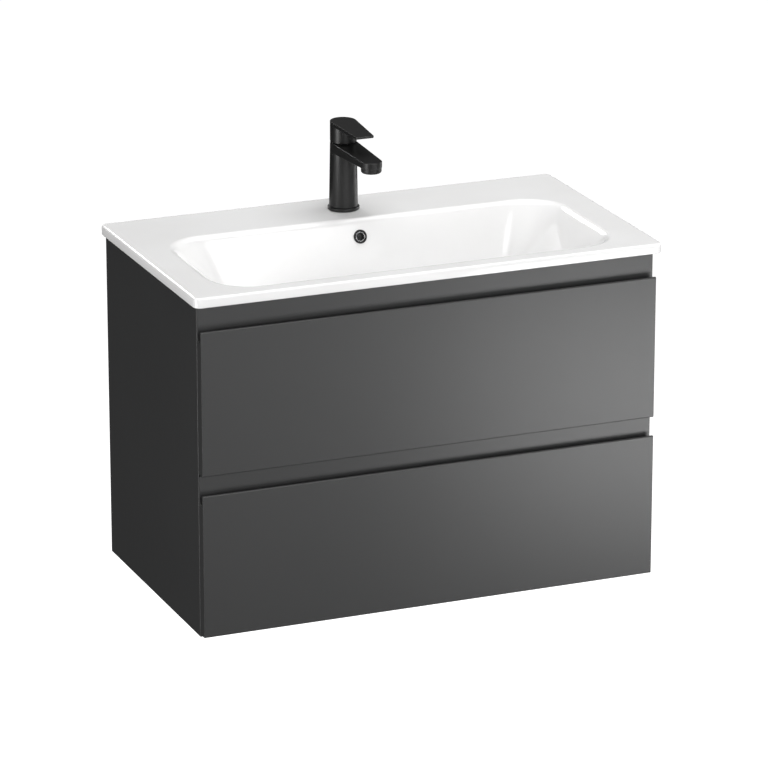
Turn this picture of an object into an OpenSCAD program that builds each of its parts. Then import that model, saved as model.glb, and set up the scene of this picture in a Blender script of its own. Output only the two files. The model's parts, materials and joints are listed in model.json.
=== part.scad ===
// Wall-hung bathroom vanity: a two-drawer carcass, a ceramic basin, a single-lever tap and a bottle trap.
// Millimetres. The origin lies on the wall, on the centre line, at the carcass's underside.
// +X is to the right, the drawers open towards -Y, and +Z is up.

/* [Carcass] */
// Outside width of the carcass and of the drawer fronts
cabinet_w = 800; // [600:10:1000]
// Height of the side panels
carcass_h = 566; // [470:1:690]
// Depth of the side panels, from the wall to their front edges
carcass_d = 437; // [400:1:530]
// Thickness of the carcass boards
board_t = 16; // [15:0.5:19]
// Height of the upper back rail
rail_upper_h = 120; // [110:1:150]
// Height of the lower back rail
rail_lower_h = 80; // [60:1:110]
// Space behind the upper back rail for the wall plates
rail_inset = 18; // [16:1:24]
// Sheet thickness of the steel front stretcher
stretcher_t = 2; // [1.5:0.5:2.5]
// Height of the steel front stretcher
stretcher_h = 30; // [20:1:40]

/* [Drawer fronts] */
// Thickness of each front
front_t = 19; // [18:0.5:22]
// Gap between the carcass's front edges and the backs of the fronts
front_gap = 1; // [0.8:0.1:2]
// Height that the lower front is raised above the carcass's underside
bottom_reveal = 5; // [2:1:10]
// Gap above each front
joint_gap = 3; // [2:0.5:5]
// Depth of the grip recess, from the face to the strip above the lip
grip_depth = 14.5; // [12:0.5:16]
// Wall of the lip in front of the finger groove
lip_wall = 5; // [4:0.5:7]
// Depth of the finger groove below the lip's top
groove_h = 20; // [12:1:30]
// Height of the lower front's recessed strip above its lip
strip_lower_h = 30; // [26:1:45]
// Height of the upper front's recessed strip above its lip
strip_upper_h = 38; // [30:1:50]

/* [Drawers] */
// Length of the drawer boxes and their runners
drawer_l = 350; // [300:10:380]
// Height of the upper drawer's sides
upper_side_h = 86; // [70:1:110]
// Height of the lower drawer's sides
lower_side_h = 170; // [120:1:190]
// Thickness of the double-walled drawer sides
side_t = 12; // [11:0.5:15]
// Sheet thickness of the drawer sides and of the runners
sheet_t = 1.2; // [1:0.1:1.6]
// Space for a runner between a side panel and a drawer side
runner_w = 13; // [13:0.5:16]
// Height of the runner's cabinet member
runner_h = 35; // [32:1:45]
// Thickness of the drawer bottoms and backs
drawer_board_t = 16; // [12:1:19]
// Width of the cut-out round the trap
cutout_w = 170; // [140:2:240]
// Wall of the moulded cut-out liner
liner_t = 4; // [3:0.5:6]

/* [Basin] */
// How far the basin overhangs the carcass on each side
basin_overhang_x = 10; // [2:1:20]
// How far the basin overhangs the drawer fronts
basin_overhang_y = 3; // [2:1:12]
// Thickness of the basin's rim
rim_t = 17; // [14:0.5:24]
// Corner radius of the rim
rim_r = 12; // [6:1:20]
// Width of the rim beside the bowl
rim_side = 53; // [45:1:80]
// Depth of the deck behind the bowl
deck_d = 127; // [120:1:150]
// Width of the rim in front of the bowl
rim_front = 26; // [26:1:40]
// Depth of the bowl below the rim's top
bowl_depth = 118; // [100:1:130]
// Corner radius of the bowl's mouth
bowl_r = 75; // [60:1:90]
// Thickness of the ceramic
ceramic_t = 9; // [8:0.5:12]
// Radius of the tap hole
tap_hole_r = 17.5; // [17:0.1:18]
// Radius of the overflow hole
overflow_r = 9; // [7:0.5:11]

/* [Tap] */
// Distance of the tap's axis from the wall
tap_y = 70; // [62:1:75]
// Height of the tap's body above the basin
tap_h = 117; // [100:1:160]
// Radius of the body at its foot
tap_foot_r = 24.5; // [23:0.5:27]
// Radius of the body at its top
tap_top_r = 22.5; // [21:0.5:25]
// Radius of the base ring
base_ring_r = 27; // [26:0.5:32]
// Reach of the spout, from the tap's axis to the aerator
spout_reach = 124; // [100:1:150]
// Thickness of the spout at the body
spout_t = 17; // [14:0.5:22]
// Height of the lever's hub
hub_h = 28; // [24:1:36]
// Reach of the lever, from the tap's axis to its tip
lever_reach = 98; // [80:1:115]
// How far the lever lifts, in degrees
lever_lift = 25; // [15:1:25]

/* [Waste and trap] */
// Outer radius of the waste's threaded body
waste_r = 21; // [21:0.1:21.5]
// Radius of the waste's flange
waste_flange_r = 31.5; // [31:0.5:34]
// Outer radius of the tail pipe and the outlet pipe
pipe_r = 16; // [16:0.5:20]
// Wall of the pipes
pipe_t = 1.8; // [1.5:0.1:3]
// Outer radius of the trap's bottle
bottle_r = 30; // [28:0.5:36]
// How far the outlet pipe reaches into the wall
outlet_into_wall = 45; // [30:1:80]

/* [Wall fixings] */
// Distance of the wall plates' centre below the carcass's top
plate_drop = 66; // [62:1:70]
// Width of a wall plate
plate_w = 44; // [40:1:60]
// Height of a wall plate
plate_h = 70; // [64:1:74]
// Distance between the two holes of a wall plate
plate_hole_gap = 40; // [30:1:44]
// Radius of the wall plates' holes
plate_hole_r = 4; // [3:0.5:5]

/* [Hidden] */
$fn = 64;
// A hair of overlap between joined solids, and how far a cutter runs past a face
eps = 0.01;
over = 1;

graphite = "#3a3c3e";
steel = "#b8bbbe";
black = "#1b1c1d";
white_plastic = "#e8e8e6";
drawer_grey = "#6f7276";

// Carcass
half_w = cabinet_w / 2;
inner_x = half_w - board_t;
carcass_front = -carcass_d;
front_back_y = carcass_front - front_gap;
face_y = front_back_y - front_t;
strip_y = face_y + grip_depth;

// Fronts
lip_h = (carcass_h - bottom_reveal - 2 * joint_gap - strip_lower_h - strip_upper_h) / 2;
lower_front_z = bottom_reveal;
upper_front_z = lower_front_z + lip_h + strip_lower_h + joint_gap;
edge_r = 1.5;
lip_top_r = 2.2;

// Upper back rail
upper_rail_z = carcass_h - rail_upper_h;
upper_rail_y = -rail_inset - board_t;

// Fasteners of the carcass
cam_r = 7.5;
cam_h = 12.5;
cam_inset = 34;
cam_edge = 20;
cam_low = 12.5;
cam_from_end = 60;
bumper_r = 4;
bumper_inset = 25;
stretcher_setback = 1;
stretcher_tab = 36;
bumper_t = 0.7 * front_gap;

// Wall plates and hangers
plate_t = 3;
plate_inset = 30;
plate_x = inner_x - plate_inset;
plate_z = carcass_h - plate_drop;
plate_top = plate_z + plate_h / 2;
hook_gap = 3.2;
hook_lip_t = 2.8;
hook_lip_h = 8;
hook_play = 0.5;
hook_t = 5.5;
hanger_w = 18;
hanger_d = 48;
hanger_y = -12;
hanger_top = plate_top + hook_lip_h + hook_play + hook_t;
hanger_h = 60;
notch_play = 2;

// Basin
basin_half_w = half_w + basin_overhang_x;
basin_front = face_y - basin_overhang_y;
rim_top = carcass_h + rim_t;
bowl_half_w = basin_half_w - rim_side;
bowl_back = -deck_d;
bowl_front = basin_front + rim_front;
bowl_mid_y = (bowl_back + bowl_front) / 2;
bowl_floor = rim_top - bowl_depth;
mouth_round = 8;
mouth_flare_h = 10;
mouth_flare = 2;
floor_r = 40;
bowl_wall = ceramic_t - 0.75 * mouth_round;
floor_inset_x = 75;
floor_inset_y = 35;
bowl_facets = 32;
knee_z = bowl_floor + floor_r * cos(180 / bowl_facets);
wall_slope = atan((floor_inset_y - mouth_round) / (rim_top - knee_z));
boss_r = 42;
boss_h = 31;
boss_bottom = bowl_floor - ceramic_t - boss_h;
duct_w = 48;
duct_d = 15;
duct_h = 12;
duct_back_gap = 26;
duct_back = -deck_d + duct_back_gap;
duct_z = boss_bottom + ceramic_t;
hump_w = duct_w + 2 * ceramic_t;
overflow_drop = 29;
overflow_bore = 32;
overflow_z = rim_top - overflow_drop;
overflow_wall_y = bowl_back - mouth_round - overflow_drop * tan(wall_slope);
ring_r = 11.8;
ring_t = 1.8;
ring_sleeve_l = 10;
ring_wall = 2;

// Waste
waste_hole_r = waste_r + 1.5;
waste_flange_t = 3;
flange_play = 0.5;
waste_below = 40;
waste_bottom = boss_bottom - waste_below;
waste_wall = 3;
washer_t = 3;
nut_t = 10;
stem_r = 4;
stem_play = 0.05;
plug_play = 0.3;
plug_r = 29.5;
plug_t = 5;
guide_t = 8;
guide_drop = 6;
guide_z = duct_z + duct_h - guide_t - guide_drop;
guide_hub_r = 8;
guide_bar_w = 6;
stem_below = 12;
plug_bevel = 2;
plug_crown = 6;
window_w = 22;
nut_sides = 8;

// Trap
inlet_nut_r = 27;
inlet_nut_h = 24;
nut_floor = 4;
inlet_nut_drop = 15;
inlet_nut_z = waste_bottom - inlet_nut_drop;
tail_flange_t = 4;
tail_l = 78;
tail_bottom = waste_bottom - tail_l;
bottle_drop = 36;
bottle_top = waste_bottom - bottle_drop;
bottle_h = 60;
bottle_wall = 3;
neck_r = 21;
neck_h = 12;
top_nut_r = 26;
top_nut_gap = 2;
top_nut_cover = 6;
pipe_play = 0.2;
close_play = 0.1;
cup_h = 50;
thread_h = 6;
outlet_drop = 24;
outlet_z = bottle_top - outlet_drop;
socket_wall = 3.5;
socket_l = 24;
socket_r = pipe_r + pipe_play + socket_wall;
socket_end = bowl_mid_y + bottle_r + socket_l;
outlet_nut_r = 25;
outlet_nut_l = 18;
rosette_r = 35;
rosette_nose = 5;
mark_w = 1.5;
mark_d = 0.5;
rosette_t = 9;

// Tap
base_ring_h = 6;
base_ring_bevel = 1.5;
tap_foot_z = rim_top + base_ring_h;
gasket_t = 1.2;
gasket_r = 25;
ring_bore_r = 17;
spigot_r = 16;
spigot_l = 17;
tap_top_z = rim_top + tap_h;
spout_tip_r = 18;
spout_tip_t = 11;
spout_drop = 2;
nozzle_r = 14.5;
nozzle_h = 9;
aerator_r = 11.5;
aerator_l = 8.5;
aerator_cup = 2;
aerator_wall = 2;
inlet_r = 4.6;
inlet_depth = 14;
inlet_x = 8;
inlet_ahead = 4;
inlet_y = -tap_y - inlet_ahead;
stud_r = 4;
stud_behind = 9;
stud_y = -tap_y + stud_behind;
stud_l = 67;
clamp_r = 26;
clamp_t = 6;
clamp_slot = 29;
clamp_throat = 2;
nut_af_r = 7.5;
clamp_nut_h = 7;
cartridge_r = 17.5;
cartridge_h = 38;
cartridge_gap = 6;
carrier_r = 9;
carrier_play = 0.3;
pivot_lift = 6;
pivot_z = tap_top_z + pivot_lift;
carrier_over = 4;
pin_r = 2;
pin_play = 0.05;
pin_half_l = 15;
hub_gap = 1;
hub_cavity_r = 12;
hub_cavity_h = 15;
lever_t = 8;
lever_tip_t = 4;
lever_tip_drop = 4;
lever_tip_half_w = 16;
lever_corner_r = 3;
hub_bottom = tap_top_z + hub_gap;
lever_top = hub_bottom + hub_h + lever_t;
relief_spare = 2;
relief_angle = lever_lift + relief_spare;
relief_y = 1.5;
cap_r = 2.5;
cap_t = 3;
cap_sink = 0.6;
cap_lift = 13;
cap_z = hub_bottom + cap_lift;

// Drawers
drawer_half_w = inner_x - runner_w;
box_half_w = drawer_half_w - side_t;
box_back = front_back_y + drawer_l;
upper_box_lift = 10.5;
lower_box_lift = 8;
upper_box_z = upper_front_z + upper_box_lift;
lower_box_z = board_t + lower_box_lift;
bottom_lift = 6;
runner_lift = 28;
runner_setback = 3;
runner_y = carcass_front + runner_setback;
member_gap = 1.8;
cabinet_member_gap = 1.5;
middle_member_gap = 5.5;
rail_reach = 7;
cutout_ahead = 34;
cutout_front = bowl_mid_y - bottle_r - cutout_ahead;
bracket_t = 2;
bracket_l = 38;
bracket_w = 18;
bracket_h = 40;
bracket_drop = 8;

// ---- Helpers ----

function arc(x, y, r, from, to, steps = 6) =
    [for (i = [0:steps]) [x + r * cos(from + (to - from) * i / steps),
                             y + r * sin(from + (to - from) * i / steps)]];

function round_rect(x0, x1, y0, y1, r) = concat(
    arc(x1 - r, y1 - r, r, 0, 90, 12), arc(x0 + r, y1 - r, r, 90, 180, 12),
    arc(x0 + r, y0 + r, r, 180, 270, 12), arc(x1 - r, y0 + r, r, 270, 360, 12));

module block(x0, x1, y0, y1, z0, z1) {
    translate([x0, y0, z0]) cube([x1 - x0, y1 - y0, z1 - z0]);
}

module rod(x, y, z0, z1, r) {
    translate([x, y, z0]) cylinder(h = z1 - z0, r = r);
}

module rod_y(x, z, y0, y1, r) {
    translate([x, y0, z]) rotate([-90, 0, 0]) cylinder(h = y1 - y0, r = r);
}

module both_sides() {
    children();
    mirror([1, 0, 0]) children();
}

// An outline in Y and Z, extruded along X
module along_x(x0, x1, outline) {
    translate([x0, 0, 0]) rotate([90, 0, 90]) linear_extrude(x1 - x0) polygon(outline);
}

// ---- Carcass ----

module side_panel(side) {
    color(graphite) mirror([side < 0 ? 1 : 0, 0, 0])
        block(inner_x, half_w, carcass_front, 0, 0, carcass_h);
}

// Centres of the cams in the bottom panel, in X and Y
function bottom_cams() =
    [for (sx = [-1, 1], y = [-cam_from_end, carcass_front + cam_from_end]) [sx * (inner_x - cam_inset), y]];

// Centres of the cams in a back rail, in X and Z
function rail_cams(z0, h) = [for (sx = [-1, 1], z = [z0 + cam_low, z0 + h - cam_edge])
    [sx * (inner_x - cam_inset), z]];

module bottom_panel() {
    color(graphite) difference() {
        block(-inner_x, inner_x, carcass_front, 0, 0, board_t);
        for (p = bottom_cams()) rod(p[0], p[1], -eps, cam_h, cam_r);
    }
}

module back_rail_upper() {
    color(graphite) difference() {
        block(-inner_x, inner_x, upper_rail_y, -rail_inset, upper_rail_z, carcass_h);
        for (p = rail_cams(upper_rail_z, rail_upper_h))
            rod_y(p[0], p[1], upper_rail_y - eps, upper_rail_y + cam_h, cam_r);
        both_sides() block(inner_x - hanger_w - notch_play, inner_x + eps,
                             upper_rail_y - eps, -rail_inset + eps,
            hanger_top - hanger_h - notch_play, hanger_top + notch_play);
    }
}

module back_rail_lower() {
    color(graphite) difference() {
        block(-inner_x, inner_x, -board_t, 0, board_t, board_t + rail_lower_h);
        for (p = rail_cams(board_t, rail_lower_h)) rod_y(p[0], p[1], -board_t - eps, -board_t + cam_h, cam_r);
    }
}

module cam_locks() {
    color(steel) {
        for (p = bottom_cams()) rod(p[0], p[1], 0, cam_h, cam_r);
        for (p = rail_cams(upper_rail_z, rail_upper_h))
            rod_y(p[0], p[1], upper_rail_y, upper_rail_y + cam_h, cam_r);
        for (p = rail_cams(board_t, rail_lower_h)) rod_y(p[0], p[1], -board_t, -board_t + cam_h, cam_r);
    }
}

module front_stretcher() {
    z0 = carcass_h - stretcher_h;
    y0 = carcass_front + stretcher_setback;
    color(steel) {
        block(-inner_x, inner_x, y0, y0 + stretcher_t, z0, carcass_h);
        both_sides() block(inner_x - stretcher_t, inner_x, y0, y0 + stretcher_tab, z0, carcass_h);
    }
}

module front_bumpers() {
    heights = [for (z = [lower_front_z, upper_front_z]) each [z + bumper_inset, z + lip_h - bumper_inset]];
    color(white_plastic) both_sides() for (z = heights)
        rod_y(half_w - board_t / 2, z, carcass_front - bumper_t, carcass_front, bumper_r);
}

// ---- Wall fixings ----

module wall_plates() {
    color(steel) both_sides() difference() {
        union() {
            block(plate_x - plate_w / 2, plate_x + plate_w / 2,
                  -plate_t, 0, plate_z - plate_h / 2, plate_top);
            block(plate_x - plate_w / 2, plate_x + plate_w / 2, -plate_t - hook_gap - hook_lip_t, -eps,
                plate_top - plate_t, plate_top);
            block(plate_x - plate_w / 2, plate_x + plate_w / 2,
                  -plate_t - hook_gap - hook_lip_t, -plate_t - hook_gap,
                plate_top - plate_t, plate_top + hook_lip_h);
        }
        for (dz = [-1, 1] * plate_hole_gap / 2)
            rod_y(plate_x, plate_z + dz, -plate_t - eps, eps, plate_hole_r);
    }
}

module hanger_brackets() {
    finger_play = 0.2;
    color(white_plastic) both_sides() {
        block(inner_x - hanger_w, inner_x, hanger_y - hanger_d, hanger_y, hanger_top - hanger_h, hanger_top);
        block(inner_x - hanger_w, inner_x,
              hanger_y - eps, -plate_t - finger_play, hanger_top - hook_t, hanger_top);
        block(inner_x - hanger_w, inner_x, -plate_t - hook_gap + finger_play, -plate_t - finger_play,
            plate_top + hook_play, hanger_top);
    }
}

// ---- Basin ----

// A rounded slab of the bowl's plan, drawn in by inset on all sides
module bowl_slice(z, inset, r, h = eps) {
    for (x = [-1, 1] * (bowl_half_w - inset - r), y = [bowl_back - inset - r, bowl_front + inset + r])
        translate([x, y, z]) cylinder(h = h, r = r, $fn = 48);
}

// The bowl as a solid that is thicker than the hollow by grow on every side
module bowl_form(grow, top) {
    hull() {
        bowl_slice(top, mouth_round - grow, bowl_r - mouth_round + grow);
        for (x = [-1, 1] * (bowl_half_w - floor_inset_x - floor_r),
             y = [bowl_back - floor_inset_y - floor_r, bowl_front + floor_inset_y + floor_r])
            translate([x, y, knee_z]) sphere(r = floor_r + grow, $fn = bowl_facets);
    }
}

module basin() {
    color("white") difference() {
        union() {
            translate([0, 0, carcass_h]) linear_extrude(rim_t)
                polygon(round_rect(-basin_half_w, basin_half_w, basin_front, 0, rim_r));
            bowl_form(bowl_wall, carcass_h + eps);
            rod(0, bowl_mid_y, boss_bottom, bowl_floor, boss_r);
            block(-hump_w / 2, hump_w / 2, bowl_back - floor_inset_y - ceramic_t, duct_back + ceramic_t,
                boss_bottom, carcass_h + eps);
            block(-hump_w / 2, hump_w / 2, bowl_mid_y, duct_back + ceramic_t,
                  boss_bottom, bowl_floor - ceramic_t / 2);
        }
        bowl_form(0, rim_top + eps);
        hull() {
            bowl_slice(rim_top, 0, bowl_r);
            bowl_slice(rim_top - mouth_flare_h, mouth_round + mouth_flare,
                       bowl_r - mouth_round - mouth_flare);
        }
        rod(0, -tap_y, carcass_h - eps, rim_top + eps, tap_hole_r);
        rod(0, bowl_mid_y, boss_bottom - eps, bowl_floor + over, waste_hole_r);
        rod(0, bowl_mid_y, bowl_floor - waste_flange_t, bowl_floor + over, waste_flange_r + flange_play);
        translate([0, overflow_wall_y, overflow_z]) rotate([-90 - wall_slope, 0, 0])
            translate([0, 0, -ceramic_t]) cylinder(h = ceramic_t + overflow_bore, r = overflow_r);
        block(-duct_w / 2, duct_w / 2, duct_back - duct_d, duct_back, duct_z, overflow_z);
        block(-duct_w / 2, duct_w / 2, bowl_mid_y, duct_back, duct_z, duct_z + duct_h);
    }
}

module overflow_ring() {
    color(black) translate([0, overflow_wall_y, overflow_z]) rotate([-90 - wall_slope, 0, 0]) difference() {
        union() {
            translate([0, 0, -ring_t]) cylinder(h = ring_t, r = ring_r);
            translate([0, 0, -eps]) cylinder(h = ring_sleeve_l, r = overflow_r - close_play);
        }
        translate([0, 0, -ring_t - eps])
            cylinder(h = ring_sleeve_l + ring_t + over, r = overflow_r - ring_wall);
    }
}

// ---- Waste ----

module waste_body() {
    bore_r = waste_r - waste_wall;
    color(steel) difference() {
        union() {
            rod(0, bowl_mid_y, bowl_floor - waste_flange_t, bowl_floor, waste_flange_r);
            rod(0, bowl_mid_y, waste_bottom, bowl_floor - waste_flange_t / 2, waste_r);
        }
        difference() {
            rod(0, bowl_mid_y, waste_bottom - eps, bowl_floor + eps, bore_r);
            rod(0, bowl_mid_y, guide_z, guide_z + guide_t, guide_hub_r);
            block(-waste_r, waste_r, bowl_mid_y - guide_bar_w / 2, bowl_mid_y + guide_bar_w / 2,
                guide_z, guide_z + guide_t);
        }
        rod(0, bowl_mid_y, guide_z - eps, guide_z + guide_t + eps, stem_r + stem_play);
        for (turn = [0, 180]) translate([0, bowl_mid_y, 0]) rotate([0, 0, turn])
            block(-window_w / 2, window_w / 2, bore_r / 2, waste_r + eps, duct_z, duct_z + duct_h);
    }
}

module waste_washer() {
    color("#2a2a2a") difference() {
        rod(0, bowl_mid_y, boss_bottom - washer_t, boss_bottom, waste_flange_r);
        rod(0, bowl_mid_y, boss_bottom - washer_t - eps, boss_bottom + eps, waste_r + pipe_play);
    }
}

module waste_nut() {
    top = boss_bottom - washer_t;
    color(steel) difference() {
        translate([0, bowl_mid_y, top - nut_t]) cylinder(h = nut_t, r = waste_flange_r, $fn = nut_sides);
        rod(0, bowl_mid_y, top - nut_t - eps, top + eps, waste_r + pipe_play);
    }
}

module waste_plug() {
    z0 = bowl_floor + plug_play;
    stem_l = z0 - guide_z + stem_below;
    color(steel) {
        rod(0, bowl_mid_y, z0, z0 + plug_t - plug_bevel, plug_r);
        translate([0, bowl_mid_y, z0 + plug_t - plug_bevel - eps])
            cylinder(h = plug_bevel, r1 = plug_r, r2 = plug_r - plug_crown);
        rod(0, bowl_mid_y, z0 - stem_l, z0 + eps, stem_r);
    }
}

// ---- Trap ----

module trap_inlet_nut() {
    color(white_plastic) difference() {
        rod(0, bowl_mid_y, inlet_nut_z, inlet_nut_z + inlet_nut_h, inlet_nut_r);
        rod(0, bowl_mid_y, inlet_nut_z + nut_floor, inlet_nut_z + inlet_nut_h + eps, waste_r + pipe_play);
        rod(0, bowl_mid_y, inlet_nut_z - eps, inlet_nut_z + nut_floor + eps, pipe_r + pipe_play);
    }
}

module trap_tailpipe() {
    color(white_plastic) difference() {
        union() {
            rod(0, bowl_mid_y, tail_bottom, waste_bottom, pipe_r);
            rod(0, bowl_mid_y, waste_bottom - tail_flange_t, waste_bottom, waste_r);
        }
        rod(0, bowl_mid_y, tail_bottom - eps, waste_bottom + eps, pipe_r - pipe_t);
    }
}

module trap_top_nut() {
    z0 = bottle_top + top_nut_gap;
    h = neck_h + top_nut_cover;
    color(white_plastic) difference() {
        rod(0, bowl_mid_y, z0, z0 + h, top_nut_r);
        rod(0, bowl_mid_y, z0 - eps, bottle_top + neck_h, neck_r + pipe_play);
        rod(0, bowl_mid_y, z0, z0 + h + eps, pipe_r + pipe_play);
    }
}

module trap_body() {
    bottom = bottle_top - bottle_h;
    color(white_plastic) difference() {
        union() {
            rod(0, bowl_mid_y, bottom, bottle_top, bottle_r);
            rod(0, bowl_mid_y, bottle_top - eps, bottle_top + neck_h, neck_r);
            rod_y(0, outlet_z, bowl_mid_y, socket_end, socket_r);
        }
        rod(0, bowl_mid_y, bottom - eps, bottle_top - bottle_wall, bottle_r - bottle_wall);
        rod(0, bowl_mid_y, bottle_top - bottle_wall - eps, bottle_top + neck_h + eps, pipe_r + pipe_play);
        rod_y(0, outlet_z, bowl_mid_y, socket_end + eps, pipe_r + pipe_play);
    }
}

module trap_cup() {
    top = bottle_top - bottle_h;
    spigot = bottle_r - bottle_wall - pipe_play;
    color(white_plastic) difference() {
        union() {
            rod(0, bowl_mid_y, top - cup_h, top, bottle_r);
            rod(0, bowl_mid_y, top - eps, top + thread_h, spigot);
        }
        rod(0, bowl_mid_y, top - cup_h + bottle_wall, top + thread_h + eps, spigot - bottle_wall);
    }
}

module trap_outlet_nut() {
    y0 = socket_end - outlet_nut_l / 2;
    color(white_plastic) difference() {
        rod_y(0, outlet_z, y0, y0 + outlet_nut_l, outlet_nut_r);
        rod_y(0, outlet_z, y0 - eps, socket_end + pipe_play, socket_r + pipe_play);
        rod_y(0, outlet_z, y0, y0 + outlet_nut_l + eps, pipe_r + pipe_play);
    }
}

// The ring groove shows how far the pipe goes into the wall
module outlet_pipe() {
    color(white_plastic) difference() {
        union() {
            rod_y(0, outlet_z, bowl_mid_y + bottle_r + over, -mark_w, pipe_r);
            rod_y(0, outlet_z, -mark_w - eps, eps, pipe_r - mark_d);
            rod_y(0, outlet_z, 0, outlet_into_wall, pipe_r);
        }
        rod_y(0, outlet_z, bowl_mid_y + bottle_r, outlet_into_wall + eps, pipe_r - pipe_t);
    }
}

module wall_rosette() {
    color(white_plastic) difference() {
        translate([0, 0, outlet_z]) rotate([90, 0, 0])
            cylinder(h = rosette_t, r1 = rosette_r, r2 = pipe_r + rosette_nose);
        rod_y(0, outlet_z, -rosette_t - eps, eps, pipe_r + pipe_play);
    }
}

// ---- Tap ----

module tap_gasket() {
    color("#2a2a2a") difference() {
        rod(0, -tap_y, rim_top, rim_top + gasket_t, gasket_r);
        rod(0, -tap_y, rim_top - eps, rim_top + gasket_t + eps, ring_bore_r);
    }
}

module tap_base_ring() {
    bevel_z = tap_foot_z - base_ring_bevel;
    color(black) difference() {
        union() {
            rod(0, -tap_y, rim_top + gasket_t, bevel_z, base_ring_r);
            translate([0, -tap_y, bevel_z - eps])
                cylinder(h = base_ring_bevel + eps, r1 = base_ring_r, r2 = tap_foot_r);
        }
        rod(0, -tap_y, rim_top, tap_foot_z + eps, ring_bore_r);
    }
}

module tap_body() {
    aerator_y = -tap_y - spout_reach;
    tip_top = tap_top_z - spout_drop;
    bore_z = tap_top_z - cartridge_gap - cartridge_h;
    color(black) difference() {
        union() {
            translate([0, -tap_y, tap_foot_z])
                cylinder(h = tap_top_z - tap_foot_z, r1 = tap_foot_r, r2 = tap_top_r);
            rod(0, -tap_y, tap_foot_z - spigot_l, tap_foot_z + eps, spigot_r);
            hull() {
                translate([0, -tap_y, tap_top_z - spout_t]) cylinder(h = spout_t, r = tap_top_r, $fn = 48);
                translate([0, aerator_y, tip_top - spout_tip_t])
                    cylinder(h = spout_tip_t, r = spout_tip_r, $fn = 48);
            }
            rod(0, aerator_y, tip_top - spout_tip_t - nozzle_h, tip_top - eps, nozzle_r);
        }
        rod(0, -tap_y, bore_z, tap_top_z + eps, cartridge_r + close_play);
        rod(0, aerator_y, tip_top - spout_tip_t - nozzle_h - eps,
            tip_top - spout_tip_t, aerator_r + close_play);
        for (x = [-inlet_x, inlet_x])
            rod(x, inlet_y, tap_foot_z - spigot_l - eps, tap_foot_z - spigot_l + inlet_depth, inlet_r);
        rod(0, stud_y, tap_foot_z - spigot_l - eps, tap_foot_z - spigot_l + inlet_depth, stud_r + close_play);
    }
}

module tap_aerator() {
    bottom = tap_top_z - spout_drop - spout_tip_t - nozzle_h;
    color(black) difference() {
        rod(0, -tap_y - spout_reach, bottom, bottom + aerator_l, aerator_r);
        rod(0, -tap_y - spout_reach, bottom - eps, bottom + aerator_cup, aerator_r - aerator_wall);
    }
}

module tap_stud() {
    top = tap_foot_z - spigot_l + inlet_depth;
    color(steel) rod(0, stud_y, top - stud_l, top, stud_r);
}

module tap_clamp_washer() {
    color(steel) difference() {
        rod(0, -tap_y, carcass_h - clamp_t, carcass_h, clamp_r);
        block(-clamp_slot / 2, clamp_slot / 2, -tap_y - clamp_r - over, -tap_y + clamp_throat,
            carcass_h - clamp_t - eps, carcass_h + eps);
        rod(0, stud_y, carcass_h - clamp_t - eps, carcass_h + eps, stud_r + pipe_play);
    }
}

module tap_clamp_nut() {
    top = carcass_h - clamp_t;
    color(steel) difference() {
        translate([0, stud_y, top - clamp_nut_h]) cylinder(h = clamp_nut_h, r = nut_af_r, $fn = 6);
        rod(0, stud_y, top - clamp_nut_h - eps, top + eps, stud_r + close_play);
    }
}

module tap_cartridge() {
    top = tap_top_z - cartridge_gap;
    color(white_plastic) rod(0, -tap_y, top - cartridge_h, top, cartridge_r);
}

module tap_stem_carrier() {
    z0 = tap_top_z - cartridge_gap + carrier_play;
    color("#d8d4c8") {
        rod(0, -tap_y, z0, pivot_z + carrier_over, carrier_r);
        translate([-pin_half_l, -tap_y, pivot_z]) rotate([0, 90, 0]) cylinder(h = 2 * pin_half_l, r = pin_r);
    }
}

module tap_lever() {
    color(black) difference() {
        union() {
            rod(0, -tap_y, hub_bottom, hub_bottom + hub_h + eps, tap_top_r);
            hull() {
                translate([0, -tap_y, hub_bottom + hub_h]) cylinder(h = lever_t, r = tap_top_r, $fn = 48);
                for (x = [-1, 1] * (lever_tip_half_w - lever_corner_r))
                    translate([x, -tap_y - lever_reach + lever_corner_r,
                               lever_top - lever_tip_drop - lever_tip_t])
                        cylinder(h = lever_tip_t, r = lever_corner_r, $fn = 24);
            }
        }
        rod(0, -tap_y, hub_bottom - eps, hub_bottom + hub_cavity_h, hub_cavity_r);
        translate([-pin_half_l - over, -tap_y, pivot_z]) rotate([0, 90, 0])
            cylinder(h = 2 * (pin_half_l + over), r = pin_r + pin_play);
        // Relief under the back of the hub, so that it clears the body when the lever lifts
        translate([-2 * tap_top_r, -tap_y + relief_y, hub_bottom]) rotate([relief_angle, 0, 0])
            translate([0, 0, -hub_h]) cube([4 * tap_top_r, 2 * tap_top_r, hub_h]);
        rod_y(0, cap_z, -tap_y - tap_top_r - over, -tap_y - tap_top_r + cap_t, cap_r);
    }
}

module lever_screw_cap() {
    color(steel) rod_y(0, cap_z, -tap_y - tap_top_r + cap_sink, -tap_y - tap_top_r + cap_t, cap_r);
}

// ---- Runners ----

// A channel along Y with its web towards the side panel, drawn for the right-hand side
module channel(web_x, reach, half_h, z, y0, len) {
    translate([0, y0 + len, z]) rotate([90, 0, 0]) linear_extrude(len) polygon([
        [web_x, -half_h], [web_x, half_h], [web_x - reach, half_h], [web_x - reach, half_h - sheet_t],
        [web_x - sheet_t, half_h - sheet_t], [web_x - sheet_t, -half_h + sheet_t],
        [web_x - reach, -half_h + sheet_t], [web_x - reach, -half_h]]);
}

module cabinet_member(side, box_z) {
    color(steel) mirror([side < 0 ? 1 : 0, 0, 0])
        channel(inner_x, runner_w - cabinet_member_gap, runner_h / 2, box_z + runner_lift,
                runner_y, drawer_l);
}

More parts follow.
